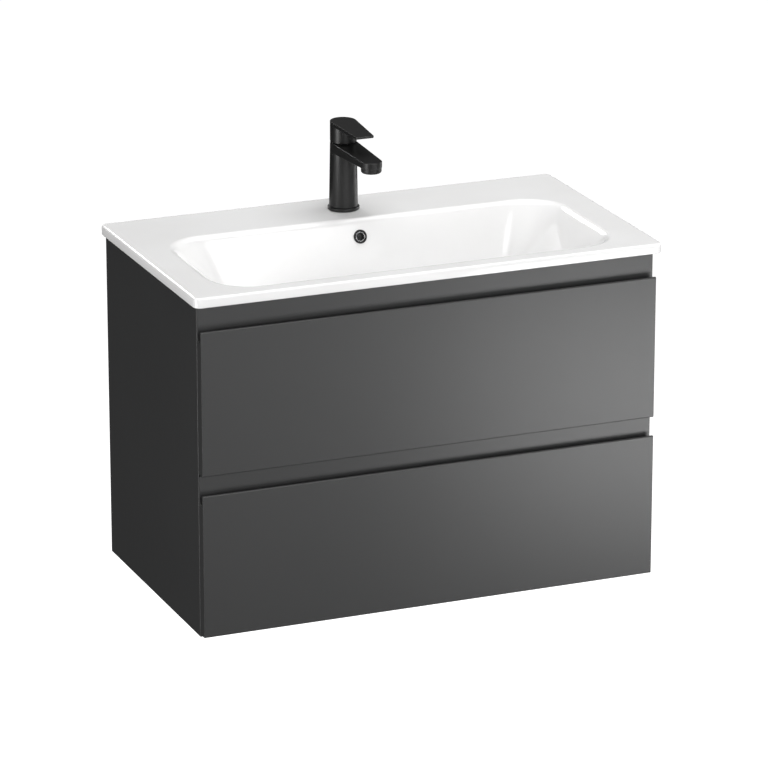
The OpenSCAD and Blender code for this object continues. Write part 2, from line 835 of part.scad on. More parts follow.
module middle_members(box_z) {
    half_h = runner_h / 2 - sheet_t - member_gap;
    color(steel) both_sides()
        channel(inner_x - sheet_t - member_gap, runner_w - middle_member_gap, half_h,
                box_z + runner_lift, runner_y, drawer_l);
}

module drawer_member(side, box_z) {
    half_h = runner_h / 2 - 2 * (sheet_t + member_gap);
    color(steel) mirror([side < 0 ? 1 : 0, 0, 0])
        translate([2 * drawer_half_w, 0, 0]) mirror([1, 0, 0])
            channel(drawer_half_w, rail_reach, half_h, box_z + runner_lift, runner_y, drawer_l);
}

// ---- Drawers ----

// The face of a front, as an outline in Y and Z: its lip, and the finger groove behind the lip
module drawer_front(z0) {
    lip_top = z0 + lip_h;
    groove_r = (grip_depth - lip_wall) / 2;
    color(graphite) along_x(-half_w, half_w, concat(
        arc(face_y + edge_r, z0 + edge_r, edge_r, 270, 180),
        arc(face_y + lip_top_r, lip_top - lip_top_r, lip_top_r, 180, 90),
        arc(face_y + lip_wall - lip_top_r, lip_top - lip_top_r, lip_top_r, 90, 0),
        arc(face_y + lip_wall + groove_r, lip_top - groove_h + groove_r, groove_r, 180, 270),
        [[strip_y, lip_top - groove_h], [strip_y, z0]]));
}

// The board behind a face, which shows as the recessed strip above the lip
module front_backing(z0, strip_h) {
    color(graphite) block(-half_w, half_w, strip_y, front_back_y, z0, z0 + lip_h + strip_h);
}

module drawer_side(side, box_z, h) {
    color(drawer_grey) mirror([side < 0 ? 1 : 0, 0, 0]) difference() {
        block(box_half_w, drawer_half_w, front_back_y, box_back, box_z, box_z + h);
        block(box_half_w + sheet_t, drawer_half_w - sheet_t, front_back_y - eps, box_back + eps,
            box_z - eps, box_z + h - sheet_t);
    }
}

function floor_z(box_z) = box_z + bottom_lift;
function floor_top(box_z) = floor_z(box_z) + drawer_board_t;

module upper_bottom() {
    color(drawer_grey) difference() {
        block(-box_half_w, box_half_w, front_back_y, box_back, floor_z(upper_box_z), floor_top(upper_box_z));
        block(-cutout_w / 2, cutout_w / 2, cutout_front, box_back + eps,
            floor_z(upper_box_z) - eps, floor_top(upper_box_z) + eps);
    }
}

module lower_bottom() {
    color(drawer_grey)
        block(-box_half_w, box_half_w, front_back_y, box_back, floor_z(lower_box_z), floor_top(lower_box_z));
}

module upper_trap_liner() {
    outer = cutout_w / 2 + liner_t;
    z0 = floor_top(upper_box_z);
    z1 = upper_box_z + upper_side_h;
    color(drawer_grey) difference() {
        block(-outer, outer, cutout_front - liner_t, box_back, z0, z1);
        block(-cutout_w / 2, cutout_w / 2, cutout_front, box_back + eps, z0 - eps, z1 + eps);
    }
}

module upper_backs() {
    color(drawer_grey) both_sides()
        block(cutout_w / 2 + liner_t, box_half_w, box_back - drawer_board_t, box_back,
            floor_top(upper_box_z), upper_box_z + upper_side_h);
}

module lower_back() {
    color(drawer_grey)
        block(-box_half_w, box_half_w, box_back - drawer_board_t, box_back,
            floor_top(lower_box_z), lower_box_z + lower_side_h);
}

module front_brackets(box_z, h) {
    z0 = box_z + h - bracket_h - bracket_drop;
    color(steel) both_sides() {
        block(box_half_w - bracket_w, box_half_w, front_back_y, front_back_y + bracket_t, z0, z0 + bracket_h);
        block(box_half_w - bracket_t, box_half_w, front_back_y, front_back_y + bracket_l, z0, z0 + bracket_h);
    }
}

side_panel(-1);  // side_panel_left
side_panel(1);  // side_panel_right
bottom_panel();
back_rail_upper();
back_rail_lower();
front_stretcher();
cam_locks();
front_bumpers();
hanger_brackets();
wall_plates();
basin();
overflow_ring();
waste_body();
waste_washer();
waste_nut();
waste_plug();
trap_inlet_nut();
trap_tailpipe();
trap_top_nut();
trap_body();
trap_cup();
trap_outlet_nut();
outlet_pipe();
wall_rosette();
tap_gasket();
tap_base_ring();
tap_body();
tap_aerator();
tap_stud();
tap_clamp_washer();
tap_clamp_nut();
tap_cartridge();
tap_stem_carrier();
tap_lever();
lever_screw_cap();
cabinet_member(-1, upper_box_z);  // upper_runner_left
cabinet_member(1, upper_box_z);  // upper_runner_right
cabinet_member(-1, lower_box_z);  // lower_runner_left
cabinet_member(1, lower_box_z);  // lower_runner_right
middle_members(upper_box_z);  // upper_middle_rails
middle_members(lower_box_z);  // lower_middle_rails
drawer_front(upper_front_z);  // upper_front
front_backing(upper_front_z, strip_upper_h);  // upper_front_backing
drawer_side(-1, upper_box_z, upper_side_h);  // upper_side_left
drawer_side(1, upper_box_z, upper_side_h);  // upper_side_right
drawer_member(-1, upper_box_z);  // upper_rail_left
drawer_member(1, upper_box_z);  // upper_rail_right
upper_bottom();
upper_backs();
upper_trap_liner();
front_brackets(upper_box_z, upper_side_h);  // upper_front_brackets
drawer_front(lower_front_z);  // lower_front
front_backing(lower_front_z, strip_lower_h);  // lower_front_backing
drawer_side(-1, lower_box_z, lower_side_h);  // lower_side_left
drawer_side(1, lower_box_z, lower_side_h);  // lower_side_right
drawer_member(-1, lower_box_z);  // lower_rail_left
drawer_member(1, lower_box_z);  // lower_rail_right
lower_bottom();
lower_back();
front_brackets(lower_box_z, lower_side_h);  // lower_front_brackets
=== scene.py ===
import json
import math
from math import atan2, cos, hypot, pi, radians, sin, tan

import bmesh
import bpy
from mathutils import Matrix, Vector


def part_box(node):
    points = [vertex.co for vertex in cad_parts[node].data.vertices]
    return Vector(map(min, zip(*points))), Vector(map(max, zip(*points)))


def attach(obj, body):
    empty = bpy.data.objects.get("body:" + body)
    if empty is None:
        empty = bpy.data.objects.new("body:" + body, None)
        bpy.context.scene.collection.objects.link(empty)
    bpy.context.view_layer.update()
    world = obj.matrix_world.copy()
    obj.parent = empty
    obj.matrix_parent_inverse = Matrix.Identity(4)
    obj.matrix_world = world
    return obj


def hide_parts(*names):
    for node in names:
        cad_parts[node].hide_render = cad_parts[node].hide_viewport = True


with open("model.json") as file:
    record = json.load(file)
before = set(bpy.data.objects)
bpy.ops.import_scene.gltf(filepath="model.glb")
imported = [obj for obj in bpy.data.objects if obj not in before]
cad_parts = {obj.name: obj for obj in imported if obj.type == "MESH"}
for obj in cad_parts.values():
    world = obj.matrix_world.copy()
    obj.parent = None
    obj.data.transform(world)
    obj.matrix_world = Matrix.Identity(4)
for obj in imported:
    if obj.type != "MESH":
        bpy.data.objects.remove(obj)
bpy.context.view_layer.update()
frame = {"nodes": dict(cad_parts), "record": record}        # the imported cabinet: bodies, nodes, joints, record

mm = 0.001
nodeBody = {node: body for body, nodes in frame["record"]["behaviour"]["bodies"].items() for node in nodes}
nodeSlot = {row["node"]: row["material_slot"] for row in frame["record"]["subparts"]}


def spanOf(node):
    low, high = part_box(node)
    return low / mm, high / mm, (low + high) / (2 * mm)


# node trees: short ways to add, link and drive

def addNode(tree, kind, settings=None, **values):
    node = tree.nodes.new(kind)
    for key, value in (settings or {}).items():
        setattr(node, key, value)
    for key, value in values.items():
        node.inputs[key.replace("_", " ")].default_value = value
    return node


def makeFinish(name, colour, roughness, **values):
    material = bpy.data.materials.new(name)
    material.use_nodes = True
    shader = material.node_tree.nodes["Principled BSDF"]
    shader.inputs["Base Color"].default_value = (*colour, 1)
    shader.inputs["Roughness"].default_value = roughness
    for key, value in values.items():
        shader.inputs[key.replace("_", " ")].default_value = value
    return material


def grainOf(material, scale, detail=4, stretch=(1, 1, 1)):
    tree = material.node_tree
    coords = tree.nodes.new("ShaderNodeTexCoord")
    mapping = addNode(tree, "ShaderNodeMapping", Scale=stretch)
    noise = addNode(tree, "ShaderNodeTexNoise", Scale=scale, Detail=detail)
    tree.links.new(coords.outputs["Object"], mapping.inputs["Vector"])
    tree.links.new(mapping.outputs["Vector"], noise.inputs["Vector"])
    return noise.outputs["Fac"]


def tintBy(material, pattern, dark, light, low=0.35, high=0.65):
    tree = material.node_tree
    ramp = tree.nodes.new("ShaderNodeValToRGB")
    ramp.color_ramp.elements[0].position, ramp.color_ramp.elements[0].color = low, (*dark, 1)
    ramp.color_ramp.elements[1].position, ramp.color_ramp.elements[1].color = high, (*light, 1)
    tree.links.new(pattern, ramp.inputs["Fac"])
    tree.links.new(ramp.outputs["Color"], tree.nodes["Principled BSDF"].inputs["Base Color"])


def glossBy(material, pattern, low, high):
    tree = material.node_tree
    spread = addNode(tree, "ShaderNodeMapRange", To_Min=low, To_Max=high)
    tree.links.new(pattern, spread.inputs["Value"])
    tree.links.new(spread.outputs["Result"], tree.nodes["Principled BSDF"].inputs["Roughness"])


def bumpBy(material, pattern, strength, height):
    tree = material.node_tree
    shader = tree.nodes["Principled BSDF"]
    bump = addNode(tree, "ShaderNodeBump", Strength=strength, Distance=height)
    if shader.inputs["Normal"].links:
        tree.links.new(shader.inputs["Normal"].links[0].from_socket, bump.inputs["Normal"])
    tree.links.new(pattern, bump.inputs["Height"])
    tree.links.new(bump.outputs["Normal"], shader.inputs["Normal"])


def grey(value, warm=0.0):
    return (value * (1 + warm), value, value * (1 - warm))


lacquer = {"tone": 0.03, "gloss": 0.39, "peel": 900, "cloud": 3.5}


def makeLacquer():
    finish = makeFinish("satinGraphiteLacquer", grey(lacquer["tone"]), lacquer["gloss"])
    cloud = grainOf(finish, lacquer["cloud"], 2)
    tintBy(finish, cloud, grey(lacquer["tone"] * 0.97, -0.01), grey(lacquer["tone"] * 1.03, -0.01))
    glossBy(finish, grainOf(finish, 60, 5), lacquer["gloss"] - 0.02, lacquer["gloss"] + 0.02)
    bumpBy(finish, grainOf(finish, lacquer["peel"], 3), 0.05, 0.00004)
    return finish


def makeGlaze():
    finish = makeFinish("glossWhiteGlaze", grey(0.86, 0.004), 0.09,
                        Coat_Weight=0.2, Coat_Roughness=0.03, IOR=1.5)
    tintBy(finish, grainOf(finish, 7, 2), grey(0.85, 0.004), grey(0.88, 0.002))
    glossBy(finish, grainOf(finish, 25, 3), 0.07, 0.12)
    bumpBy(finish, grainOf(finish, 45, 2), 0.04, 0.0004)      # the slow ripple of a fired glaze
    return finish


def makeSatinBlack():
    finish = makeFinish("satinBlackCoat", grey(0.011), 0.33, Specular_IOR_Level=0.36)
    tintBy(finish, grainOf(finish, 240, 4), grey(0.010), grey(0.0125))
    glossBy(finish, grainOf(finish, 500, 3), 0.3, 0.36)
    bumpBy(finish, grainOf(finish, 2600, 3), 0.12, 0.00003)
    return finish


def makeZinc():
    finish = makeFinish("zincPlatedSteel", grey(0.52), 0.34, Metallic=1.0)
    tintBy(finish, grainOf(finish, 55, 5), (0.46, 0.47, 0.49), (0.60, 0.60, 0.60))
    glossBy(finish, grainOf(finish, 140, 5, (1, 14, 1)), 0.26, 0.44)
    bumpBy(finish, grainOf(finish, 700, 4, (1, 20, 1)), 0.1, 0.00003)
    return finish


def makeDrawerSteel():
    finish = makeFinish("powderCoatedSteel", grey(0.17), 0.5)
    tintBy(finish, grainOf(finish, 90, 3), grey(0.16, -0.02), grey(0.185, -0.02))
    bumpBy(finish, grainOf(finish, 1500, 3), 0.35, 0.00006)
    return finish


def makeDrawerBoard():
    finish = makeFinish("melamineBoard", grey(0.28), 0.55)
    weave = grainOf(finish, 260, 5, (0.12, 1, 1))
    tintBy(finish, weave, grey(0.24, -0.01), grey(0.32, -0.01), 0.3, 0.7)
    glossBy(finish, weave, 0.46, 0.62)
    bumpBy(finish, grainOf(finish, 900, 4, (0.3, 1, 1)), 0.2, 0.00005)
    return finish


def makePlastic(name, tone, roughness, pore):
    finish = makeFinish(name, grey(tone), roughness)
    tintBy(finish, grainOf(finish, 30, 3), grey(tone * 0.95, 0.004), grey(tone * 1.03, 0.004))
    glossBy(finish, grainOf(finish, 180, 4), roughness - 0.05, roughness + 0.05)
    bumpBy(finish, grainOf(finish, pore, 3), 0.15, 0.00005)
    return finish


def makeChrome():
    finish = makeFinish("polishedChrome", grey(0.82, -0.01), 0.07, Metallic=1.0)
    glossBy(finish, grainOf(finish, 90, 6), 0.05, 0.12)
    tintBy(finish, grainOf(finish, 40, 3), (0.78, 0.79, 0.81), (0.85, 0.85, 0.86))
    return finish


finishes = {
    "graphite_lacquer": makeLacquer(), "glazed_ceramic": makeGlaze(), "satin_black": makeSatinBlack(),
    "zinc_steel": makeZinc(), "drawer_steel": makeDrawerSteel(), "drawer_board": makeDrawerBoard(),
    "grey_plastic": makePlastic("greyLiner", 0.2, 0.5, 1400),
    "white_plastic": makePlastic("whiteTrapPlastic", 0.78, 0.36, 600),
    "black_rubber": makePlastic("blackRubber", 0.025, 0.72, 1100),
    "soft_bumper": makePlastic("milkyBumper", 0.66, 0.42, 500),
    "chrome": makeChrome(),
}
print("finishes made:", len(finishes))


# meshes: rings, turned shapes and softened boards, all in millimetres

def newPiece(name, points, faces):
    mesh = bpy.data.meshes.new(name)
    mesh.from_pydata([Vector(p) * mm for p in points], [], faces)
    piece = bpy.data.objects.new(name, mesh)
    bpy.context.scene.collection.objects.link(piece)
    cleanMesh(mesh)
    return piece


def cleanMesh(mesh, flatten=False):
    work = bmesh.new()
    work.from_mesh(mesh)
    bmesh.ops.remove_doubles(work, verts=work.verts, dist=0.004 * mm)
    if flatten:
        bmesh.ops.dissolve_limit(work, angle_limit=radians(0.4), verts=work.verts, edges=work.edges)
    bmesh.ops.recalc_face_normals(work, faces=work.faces)
    work.to_mesh(mesh)
    work.free()


def loft(name, rings, looped=False):
    count = len(rings[0])
    steps = len(rings) if looped else len(rings) - 1
    faces = []
    for a in range(steps):
        b = (a + 1) % len(rings)
        faces += [(a * count + i, a * count + (i + 1) % count, b * count + (i + 1) % count, b * count + i)
                  for i in range(count)]
    if not looped:
        faces += [tuple(range(count)), tuple((len(rings) - 1) * count + i for i in range(count))]
    return newPiece(name, [p for ring in rings for p in ring], faces)


def turned(name, centre, profile, axis="z", steps=96, looped=False):
    # a profile of (radius, distance along the axis), swept round
    rings = []
    for r, along in profile:
        around = [(r * cos(2 * pi * i / steps), r * sin(2 * pi * i / steps)) for i in range(steps)]
        if axis == "z":
            rings.append([(centre[0] + u, centre[1] + v, along) for u, v in around])
        else:
            rings.append([(centre[0] + u, along, centre[2] + v) for u, v in around])
    return loft(name, rings, looped)


def roundCorner(before, corner, after, radius, steps=6):
    a, b = Vector(before) - Vector(corner), Vector(after) - Vector(corner)
    half = a.angle(b) / 2
    cut = radius / tan(half)
    start, end = Vector(corner) + a.normalized() * cut, Vector(corner) + b.normalized() * cut
    centre = Vector(corner) + (a.normalized() + b.normalized()).normalized() * (radius / sin(half))
    toStart, toEnd = start - centre, end - centre
    sweep = toStart.angle(toEnd)
    arc = [(sin((1 - i / steps) * sweep), sin(i / steps * sweep)) for i in range(steps + 1)]
    return [tuple(centre + (toStart * near + toEnd * far) / sin(sweep)) for near, far in arc]


def softPath(points, steps=6):
    # points are (x, y, radius); a radius of 0 keeps the corner
    out = []
    for i, (x, y, radius) in enumerate(points):
        before, after = points[i - 1], points[(i + 1) % len(points)]
        if radius:
            out += roundCorner(before[:2], (x, y), after[:2], radius, steps)
        else:
            out.append((x, y))
    return out


def addBevel(piece, width, segments=3, angle=35):
    bevel = piece.modifiers.new("softEdges", "BEVEL")
    bevel.width = width * mm
    bevel.segments = segments
    bevel.limit_method = "ANGLE"
    bevel.angle_limit = radians(angle)


def bakeModifiers(piece):
    graph = bpy.context.evaluated_depsgraph_get()
    shaped = piece.evaluated_get(graph)
    mesh = bpy.data.meshes.new_from_object(shaped, preserve_all_data_layers=True, depsgraph=graph)
    piece.modifiers.clear()
    piece.data = mesh


def smooth(piece, angle=32, weighted=True):
    piece.data.shade_smooth()
    piece.data.set_sharp_from_angle(angle=radians(angle))
    if weighted:
        normals = piece.modifiers.new("evenNormals", "WEIGHTED_NORMAL")
        normals.keep_sharp = True
        bakeModifiers(piece)


def cutWith(piece, tool, operation="DIFFERENCE"):
    boolean = piece.modifiers.new("cut", "BOOLEAN")
    boolean.object = tool
    boolean.operation = operation
    boolean.solver = "EXACT"
    bakeModifiers(piece)
    bpy.data.objects.remove(tool)
    cleanMesh(piece.data)


def finishPiece(piece, body, slotName, *nodes):
    piece.data.materials.clear()
    piece.data.materials.append(finishes[slotName])
    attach(piece, body)
    if nodes:
        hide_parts(*nodes)


def softened(name, node, width, segments=3):
    # a merged copy of a CAD node with its edges eased
    piece = bpy.data.objects.new(name, frame["nodes"][node].data.copy())
    bpy.context.scene.collection.objects.link(piece)
    cleanMesh(piece.data, flatten=True)
    piece.data.materials.clear()
    addBevel(piece, width, segments)
    bakeModifiers(piece)
    smooth(piece)
    finishPiece(piece, nodeBody[node], nodeSlot[node], node)
    return piece


def roundedRing(x0, x1, y0, y1, r, z, longSteps=36, shortSteps=14, cornerSteps=12):
    # a rectangle with round corners, with as many points whatever its size
    ring = []
    corners = [(x1 - r, y1 - r, 0), (x0 + r, y1 - r, 90), (x0 + r, y0 + r, 180), (x1 - r, y0 + r, 270)]
    for k, (cx, cy, start) in enumerate(corners):
        turns = [radians(start + 90 * i / cornerSteps) for i in range(cornerSteps + 1)]
        arc = [(cx + r * cos(a), cy + r * sin(a)) for a in turns]
        ring += arc
        nx, ny, nextStart = corners[(k + 1) % 4]
        goal = (nx + r * cos(radians(nextStart)), ny + r * sin(radians(nextStart)))
        steps = longSteps if k % 2 == 0 else shortSteps
        ring += [(arc[-1][0] + (goal[0] - arc[-1][0]) * i / steps, arc[-1][1] +
                  (goal[1] - arc[-1][1]) * i / steps) for i in range(1, steps)]
    return [(x, y, z) for x, y in ring]


# the basin: one closed skin from the waste hole up the bowl, over the deck, and back under to the boss

basin = {
    "mouthX": 357, "mouthFront": -434, "mouthBack": -127, "mouthR": 75, "roll": 10, "rollIn": 8,
    "rollSteps": 8, "mouthFlat": 1.2, "floorX": 242, "floorFront": -359, "floorBack": -202, "floorR": 40,
    "floorZ": 465, "fall": 1.2, "rimT": 17, "rimR": 12, "edgeTop": 3.2, "edgeLow": 1.6, "wall": 9,
    "underIn": 5, "underFlat": 2, "underStop": 4, "bossR": 42, "bossZ": 425, "bossEdge": 2, "holeR": 22.5,
    "seatR": 32, "seatD": 3, "seatLip": 0.5, "seatFlare": 0.6,
}
duct = {"halfX": 33, "backY": -92, "edge": 4, "hookY": -137, "slopeY": -158, "slopeZ": 505, "kneeY": -166,
        "kneeZ": 480, "lowY": -193, "lowZ": 461.5, "frontY": -250, "over": 1}
overflow = {"z": 554, "topY": -135, "topZ": 583, "lowY": -162, "lowZ": 504.8, "holeR": 9, "holeFront": -12,
            "holeBack": 38}


def ringBetween(a, b, t, z):
    return [(p[0] + (q[0] - p[0]) * t, p[1] + (q[1] - p[1]) * t, z) for p, q in zip(a, b)]


def wallRings(anchors, lip, kneeZ, radius, arcSteps, wallSteps, stop):
    # a straight wall from the lip that meets the floor in an arc, one strip for each anchor
    arcs, walls = [[] for _ in range(arcSteps + 1)], [[] for _ in range(wallSteps)]
    for (ax, ay), p in zip(anchors, lip):
        out = Vector((p[0] - ax, p[1] - ay))
        reach, rise = out.length, p[2] - kneeZ
        out.normalize()
        touch = atan2(rise, reach) - math.acos(radius / hypot(reach, rise))
        for k in range(arcSteps + 1):
            turn = -pi / 2 + (touch + pi / 2) * k / arcSteps
            u, v = radius * cos(turn), radius * sin(turn)
            arcs[k].append((ax + out.x * u, ay + out.y * u, kneeZ + v))
        tu, tv = radius * cos(touch), radius * sin(touch)
        run = hypot(reach - tu, rise - tv)
        for k in range(wallSteps):
            t = (k + 1) / wallSteps * (run - stop) / run
            u, v = tu + (reach - tu) * t, tv + (rise - tv) * t
            walls[k].append((ax + out.x * u, ay + out.y * u, kneeZ + v))
    return arcs, walls


def makeBasin():
    b = basin
    low, high, middle = spanOf("basin")
    top, rest = high.z, high.z - b["rimT"]
    midY = (b["floorFront"] + b["floorBack"]) / 2
    kneeZ = b["floorZ"] + b["fall"] + b["floorR"]
    corner = 0.001
    anchors = [(x, y) for x, y, z in roundedRing(-b["floorX"], b["floorX"], b["floorFront"], b["floorBack"],
                                                 corner, 0)]
    away = [Vector((x, y - midY)).normalized() for x, y in anchors]

    def circle(r, z):
        return [(d.x * r, midY + d.y * r, z) for d in away]

    def mouthRing(inset, z):
        return roundedRing(-b["mouthX"] + inset, b["mouthX"] - inset, b["mouthFront"] + inset,
                           b["mouthBack"] - inset, b["mouthR"] - inset, z)

    def rimRing(inset, z):
        return roundedRing(low.x + inset, high.x - inset, low.y + inset, high.y - inset, b["rimR"] - inset,
                           z)

    mouth, rolled = mouthRing(0, top), mouthRing(b["rollIn"], top)
    arcs, walls = wallRings(anchors, rolled, kneeZ, b["floorR"], 9, 6, b["roll"])
    seatZ = b["floorZ"] - b["seatD"]
    rings = [circle(b["holeR"], b["bossZ"]), circle(b["holeR"], seatZ), circle(b["seatR"], seatZ),
             circle(b["seatR"], b["floorZ"] - b["seatLip"]),
             circle(b["seatR"] + b["seatFlare"], b["floorZ"])]
    rings += [ringBetween(circle(b["seatR"] + b["seatFlare"], 0), anchors, t, b["floorZ"] + b["fall"] * t)
              for t in (0.15, 0.4, 0.7)]
    rings += arcs + walls
    for k in range(1, b["rollSteps"] + 1):          # the roll of the mouth
        t = k / b["rollSteps"]
        rings.append([tuple(Vector(s) * (1 - t) ** 2 + Vector(c) * 2 * t * (1 - t) + Vector(e) * t * t)
                      for s, c, e in zip(walls[-1], rolled, mouth)])
    rings.append(mouthRing(-b["mouthFlat"], top))
    rings.append(rimRing(b["edgeTop"] + 1, top))
    for k in range(7):                              # the rim's upper edge, then its lower one
        a = radians(15 * k)
        rings.append(rimRing(b["edgeTop"] * (1 - sin(a)), top - b["edgeTop"] * (1 - cos(a))))
    for k in range(5):
        a = radians(22.5 * k)
        rings.append(rimRing(b["edgeLow"] * (1 - cos(a)), rest + b["edgeLow"] * (1 - sin(a))))
    under = mouthRing(b["underIn"], rest)
    rings += [mouthRing(b["underIn"] - b["underFlat"], rest), under]
    shell = b["wall"] - 1
    arcs, walls = wallRings(anchors, under, kneeZ, b["floorR"] + shell, 6, 3, b["underStop"])
    rings += list(reversed(walls)) + list(reversed(arcs))
    rings += [circle(b["bossR"], kneeZ - b["floorR"] - shell),
              circle(b["bossR"], b["bossZ"] + b["bossEdge"]),
              circle(b["bossR"] - b["bossEdge"], b["bossZ"])]
    piece = loft("basinCeramic", rings, looped=True)

    # the overflow's duct stands proud of the bowl's back and runs down to the boss
    d = duct
    outline = [(d["backY"], b["bossZ"], d["edge"]), (d["backY"], rest + d["over"], 0),
               (d["hookY"], rest + d["over"], 0), (d["slopeY"], d["slopeZ"], 0),
               (d["kneeY"], d["kneeZ"], 0), (d["lowY"], d["lowZ"], 0), (d["frontY"], d["lowZ"], 0),
               (d["frontY"], b["bossZ"], 0)]
    cutWith(piece, alongX("duct", -d["halfX"], d["halfX"], softPath(outline, 4)), "UNION")
    hole = [(tap["holeR"], rest - 5), (tap["holeR"], top + 5)]
    cutWith(piece, turned("tapHole", (0, tap["axisY"], 0), hole, steps=64))
    bore = turned("overflowBore", (0, 0, 0), [(overflow["holeR"], overflow["holeFront"]),
                                              (overflow["holeR"], overflow["holeBack"])], steps=64)
    bore.data.transform(Matrix.Translation(overflowAt() * mm) @ overflowTurn())
    cutWith(piece, bore)
    smooth(piece, 40, weighted=False)
    finishPiece(piece, "cabinet", "glazed_ceramic", "basin")


def overflowTurn():
    slope = math.atan((overflow["topY"] - overflow["lowY"]) / (overflow["topZ"] - overflow["lowZ"]))
    return Matrix.Rotation(-pi / 2 - slope, 4, "X")


def overflowAt():
    # on the bowl's back wall, which leans from its top edge to its low one
    down = (overflow["topZ"] - overflow["z"]) / (overflow["topZ"] - overflow["lowZ"])
    return Vector((0, overflow["topY"] + (overflow["lowY"] - overflow["topY"]) * down, overflow["z"]))


def alongX(name, x0, x1, outline):
    return loft(name, [[(x0, y, z) for y, z in outline], [(x1, y, z) for y, z in outline]])


# drawer fronts: a lip with a rounded groove behind it, and the strip above

frontShape = {"lipWall": 5, "grooveD": 20, "lipR": 2.1, "footR": 1.5, "grooveR": 4.4, "backR": 0.5,
              "endR": 1.3}


def makeFront(name, face, backing):
    f = frontShape
    low, high, middle = spanOf(face)
    backLow, backHigh, backMiddle = spanOf(backing)
    floor = high.z - f["grooveD"]
    lipBack = low.y + f["lipWall"]
    outline = softPath([(low.y, low.z, f["footR"]), (backHigh.y, low.z, f["backR"]),
                        (backHigh.y, backHigh.z, f["backR"]), (backLow.y, backHigh.z, f["backR"]),
                        (backLow.y, floor, f["grooveR"]), (lipBack, floor, f["grooveR"]),
                        (lipBack, high.z, f["lipR"]), (low.y, high.z, f["lipR"])])
    piece = alongX(name, low.x, high.x, outline)
    addBevel(piece, f["endR"], 3, 50)
    bakeModifiers(piece)
    smooth(piece)
    finishPiece(piece, nodeBody[face], "graphite_lacquer", face, backing)


# the tap: a tapered body with a flat spout, a lever on a round hub, and a ring at the foot

tap = {
    "axisY": -70, "holeR": 17.5, "stemR": 16, "stemLow": 572, "footR": 24.4, "footZ": 589, "footEdge": 0.8,
    "taperZ": 592, "topR": 22.5, "bodyTop": 700, "topRise": 0.8, "spoutT": 17, "rootR": 22.4, "tipY": -194,
    "tipR": 18, "tipT": 11, "tipDrop": 2, "topEdge": 1.1, "noseR": 17.3, "noseLow": 678, "noseEdge": 3.6,
    "noseIn": 4, "mouthR": 11.6, "boreR": 17.6, "boreZ": 656, "over": 5,
}
tapInlets = ((-8, -74, 4.6), (8, -74, 4.6), (0, -61, 4.1))      # two hoses and the fixing stud: x, y, radius
lever = {
    "tipY": -168, "tipHalf": 16, "tipCorner": 3.4, "hubR": 22.5, "hubLow": 701, "hubHigh": 729, "top": 737,
    "tipTop": 733, "tipLow": 729, "edge": 0.9, "footEdge": 0.7, "cavityR": 12, "cavityD": 15, "pinR": 2.05,
    "pinHalf": 16, "pinZ": 706, "reliefBack": 1.5, "reliefTurn": 27, "reliefHalf": 50, "reliefD": 60,
    "capZ": 714, "capR": 2.5, "capFront": -96, "capBack": -89.5,
}
baseRing = {"boreR": 17, "r": 27, "low": 584.2, "high": 589, "lowEdge": 0.8, "highEdge": 1.6}
screwCap = {"r": 2.4, "rim": 0.3, "dishR": 1.2, "dishD": 1.2, "dishFlat": 0.9}


def tangentOutline(rootY, rootR, tipY, tipR, steps=28):
    # the outline round two circles and their common tangents, seen from above
    lean = math.asin((rootR - tipR) / (rootY - tipY))
    outline = []
    for i in range(steps + 1):
        a = -lean + (pi + 2 * lean) * i / steps
        outline.append((rootR * cos(a), rootY + rootR * sin(a)))
    for i in range(steps + 1):
        a = pi + lean + (pi - 2 * lean) * i / steps
        outline.append((tipR * cos(a), tipY + tipR * sin(a)))
    return outline


def slab(name, outline, lowZ, highZ):
    return loft(name, [[(x, y, lowZ(y)) for x, y in outline], [(x, y, highZ(y)) for x, y in outline]])


def between(y, y0, y1, v0, v1):
    t = min(1, max(0, (y - y0) / (y1 - y0)))
    return v0 + (v1 - v0) * t


def makeTapBody():
    t = tap
    axis, nose = (0, t["axisY"], 0), (0, t["tipY"], 0)
    startR = t["footR"] - 0.05
    rise, taper = t["bodyTop"] - t["topRise"] - t["taperZ"], startR - t["topR"]
    foot = [(t["stemR"], t["stemLow"]), (t["stemR"], t["footZ"] - 0.1),
            (t["footR"] - t["footEdge"], t["footZ"]), (t["footR"], t["footZ"] + t["footEdge"]),
            (startR, t["taperZ"])]
    side = [(startR - taper * k / 6, t["taperZ"] + rise * k / 6) for k in range(1, 7)]
    rim = [(t["topR"] - 0.3, t["bodyTop"] - 0.3), (t["topR"] - t["topRise"], t["bodyTop"] - 0.05)]
    piece = turned("tapBody", axis, foot + side + rim, steps=128)
    tipTop = t["bodyTop"] - t["tipDrop"]
    spout = slab("spout", tangentOutline(t["axisY"], t["rootR"], t["tipY"], t["tipR"]),
                 lambda y: between(y, t["axisY"], t["tipY"], t["bodyTop"] - t["spoutT"], tipTop - t["tipT"]),
                 lambda y: between(y, t["axisY"], t["tipY"], t["bodyTop"], tipTop))
    addBevel(spout, t["topEdge"], 4, 45)
    bakeModifiers(spout)
    cutWith(piece, spout, "UNION")
    noseTop = tipTop - t["noseIn"]
    nosePath = softPath([(0, noseTop, 0), (t["noseR"], noseTop, 0),
                         (t["noseR"], t["noseLow"], t["noseEdge"]), (0, t["noseLow"], 0)], 8)[1:-1]
    cutWith(piece, turned("nose", nose, nosePath, steps=96), "UNION")
    cartridge = [(t["boreR"], t["boreZ"]), (t["boreR"], t["bodyTop"] + t["over"])]
    cutWith(piece, turned("cartridgeBore", axis, cartridge, steps=96))
    mouth = [(t["mouthR"], t["noseLow"] - t["over"]), (t["mouthR"], tipTop - t["tipT"])]
    cutWith(piece, turned("mouth", nose, mouth, steps=96))
    for x, y, r in tapInlets:
        cutWith(piece, turned("inlet", (x, y, 0), [(r, t["stemLow"] - 6), (r, t["stemLow"] + 14)], steps=32))
    smooth(piece, 28)
    finishPiece(piece, "cabinet", "satin_black", "tap_body")


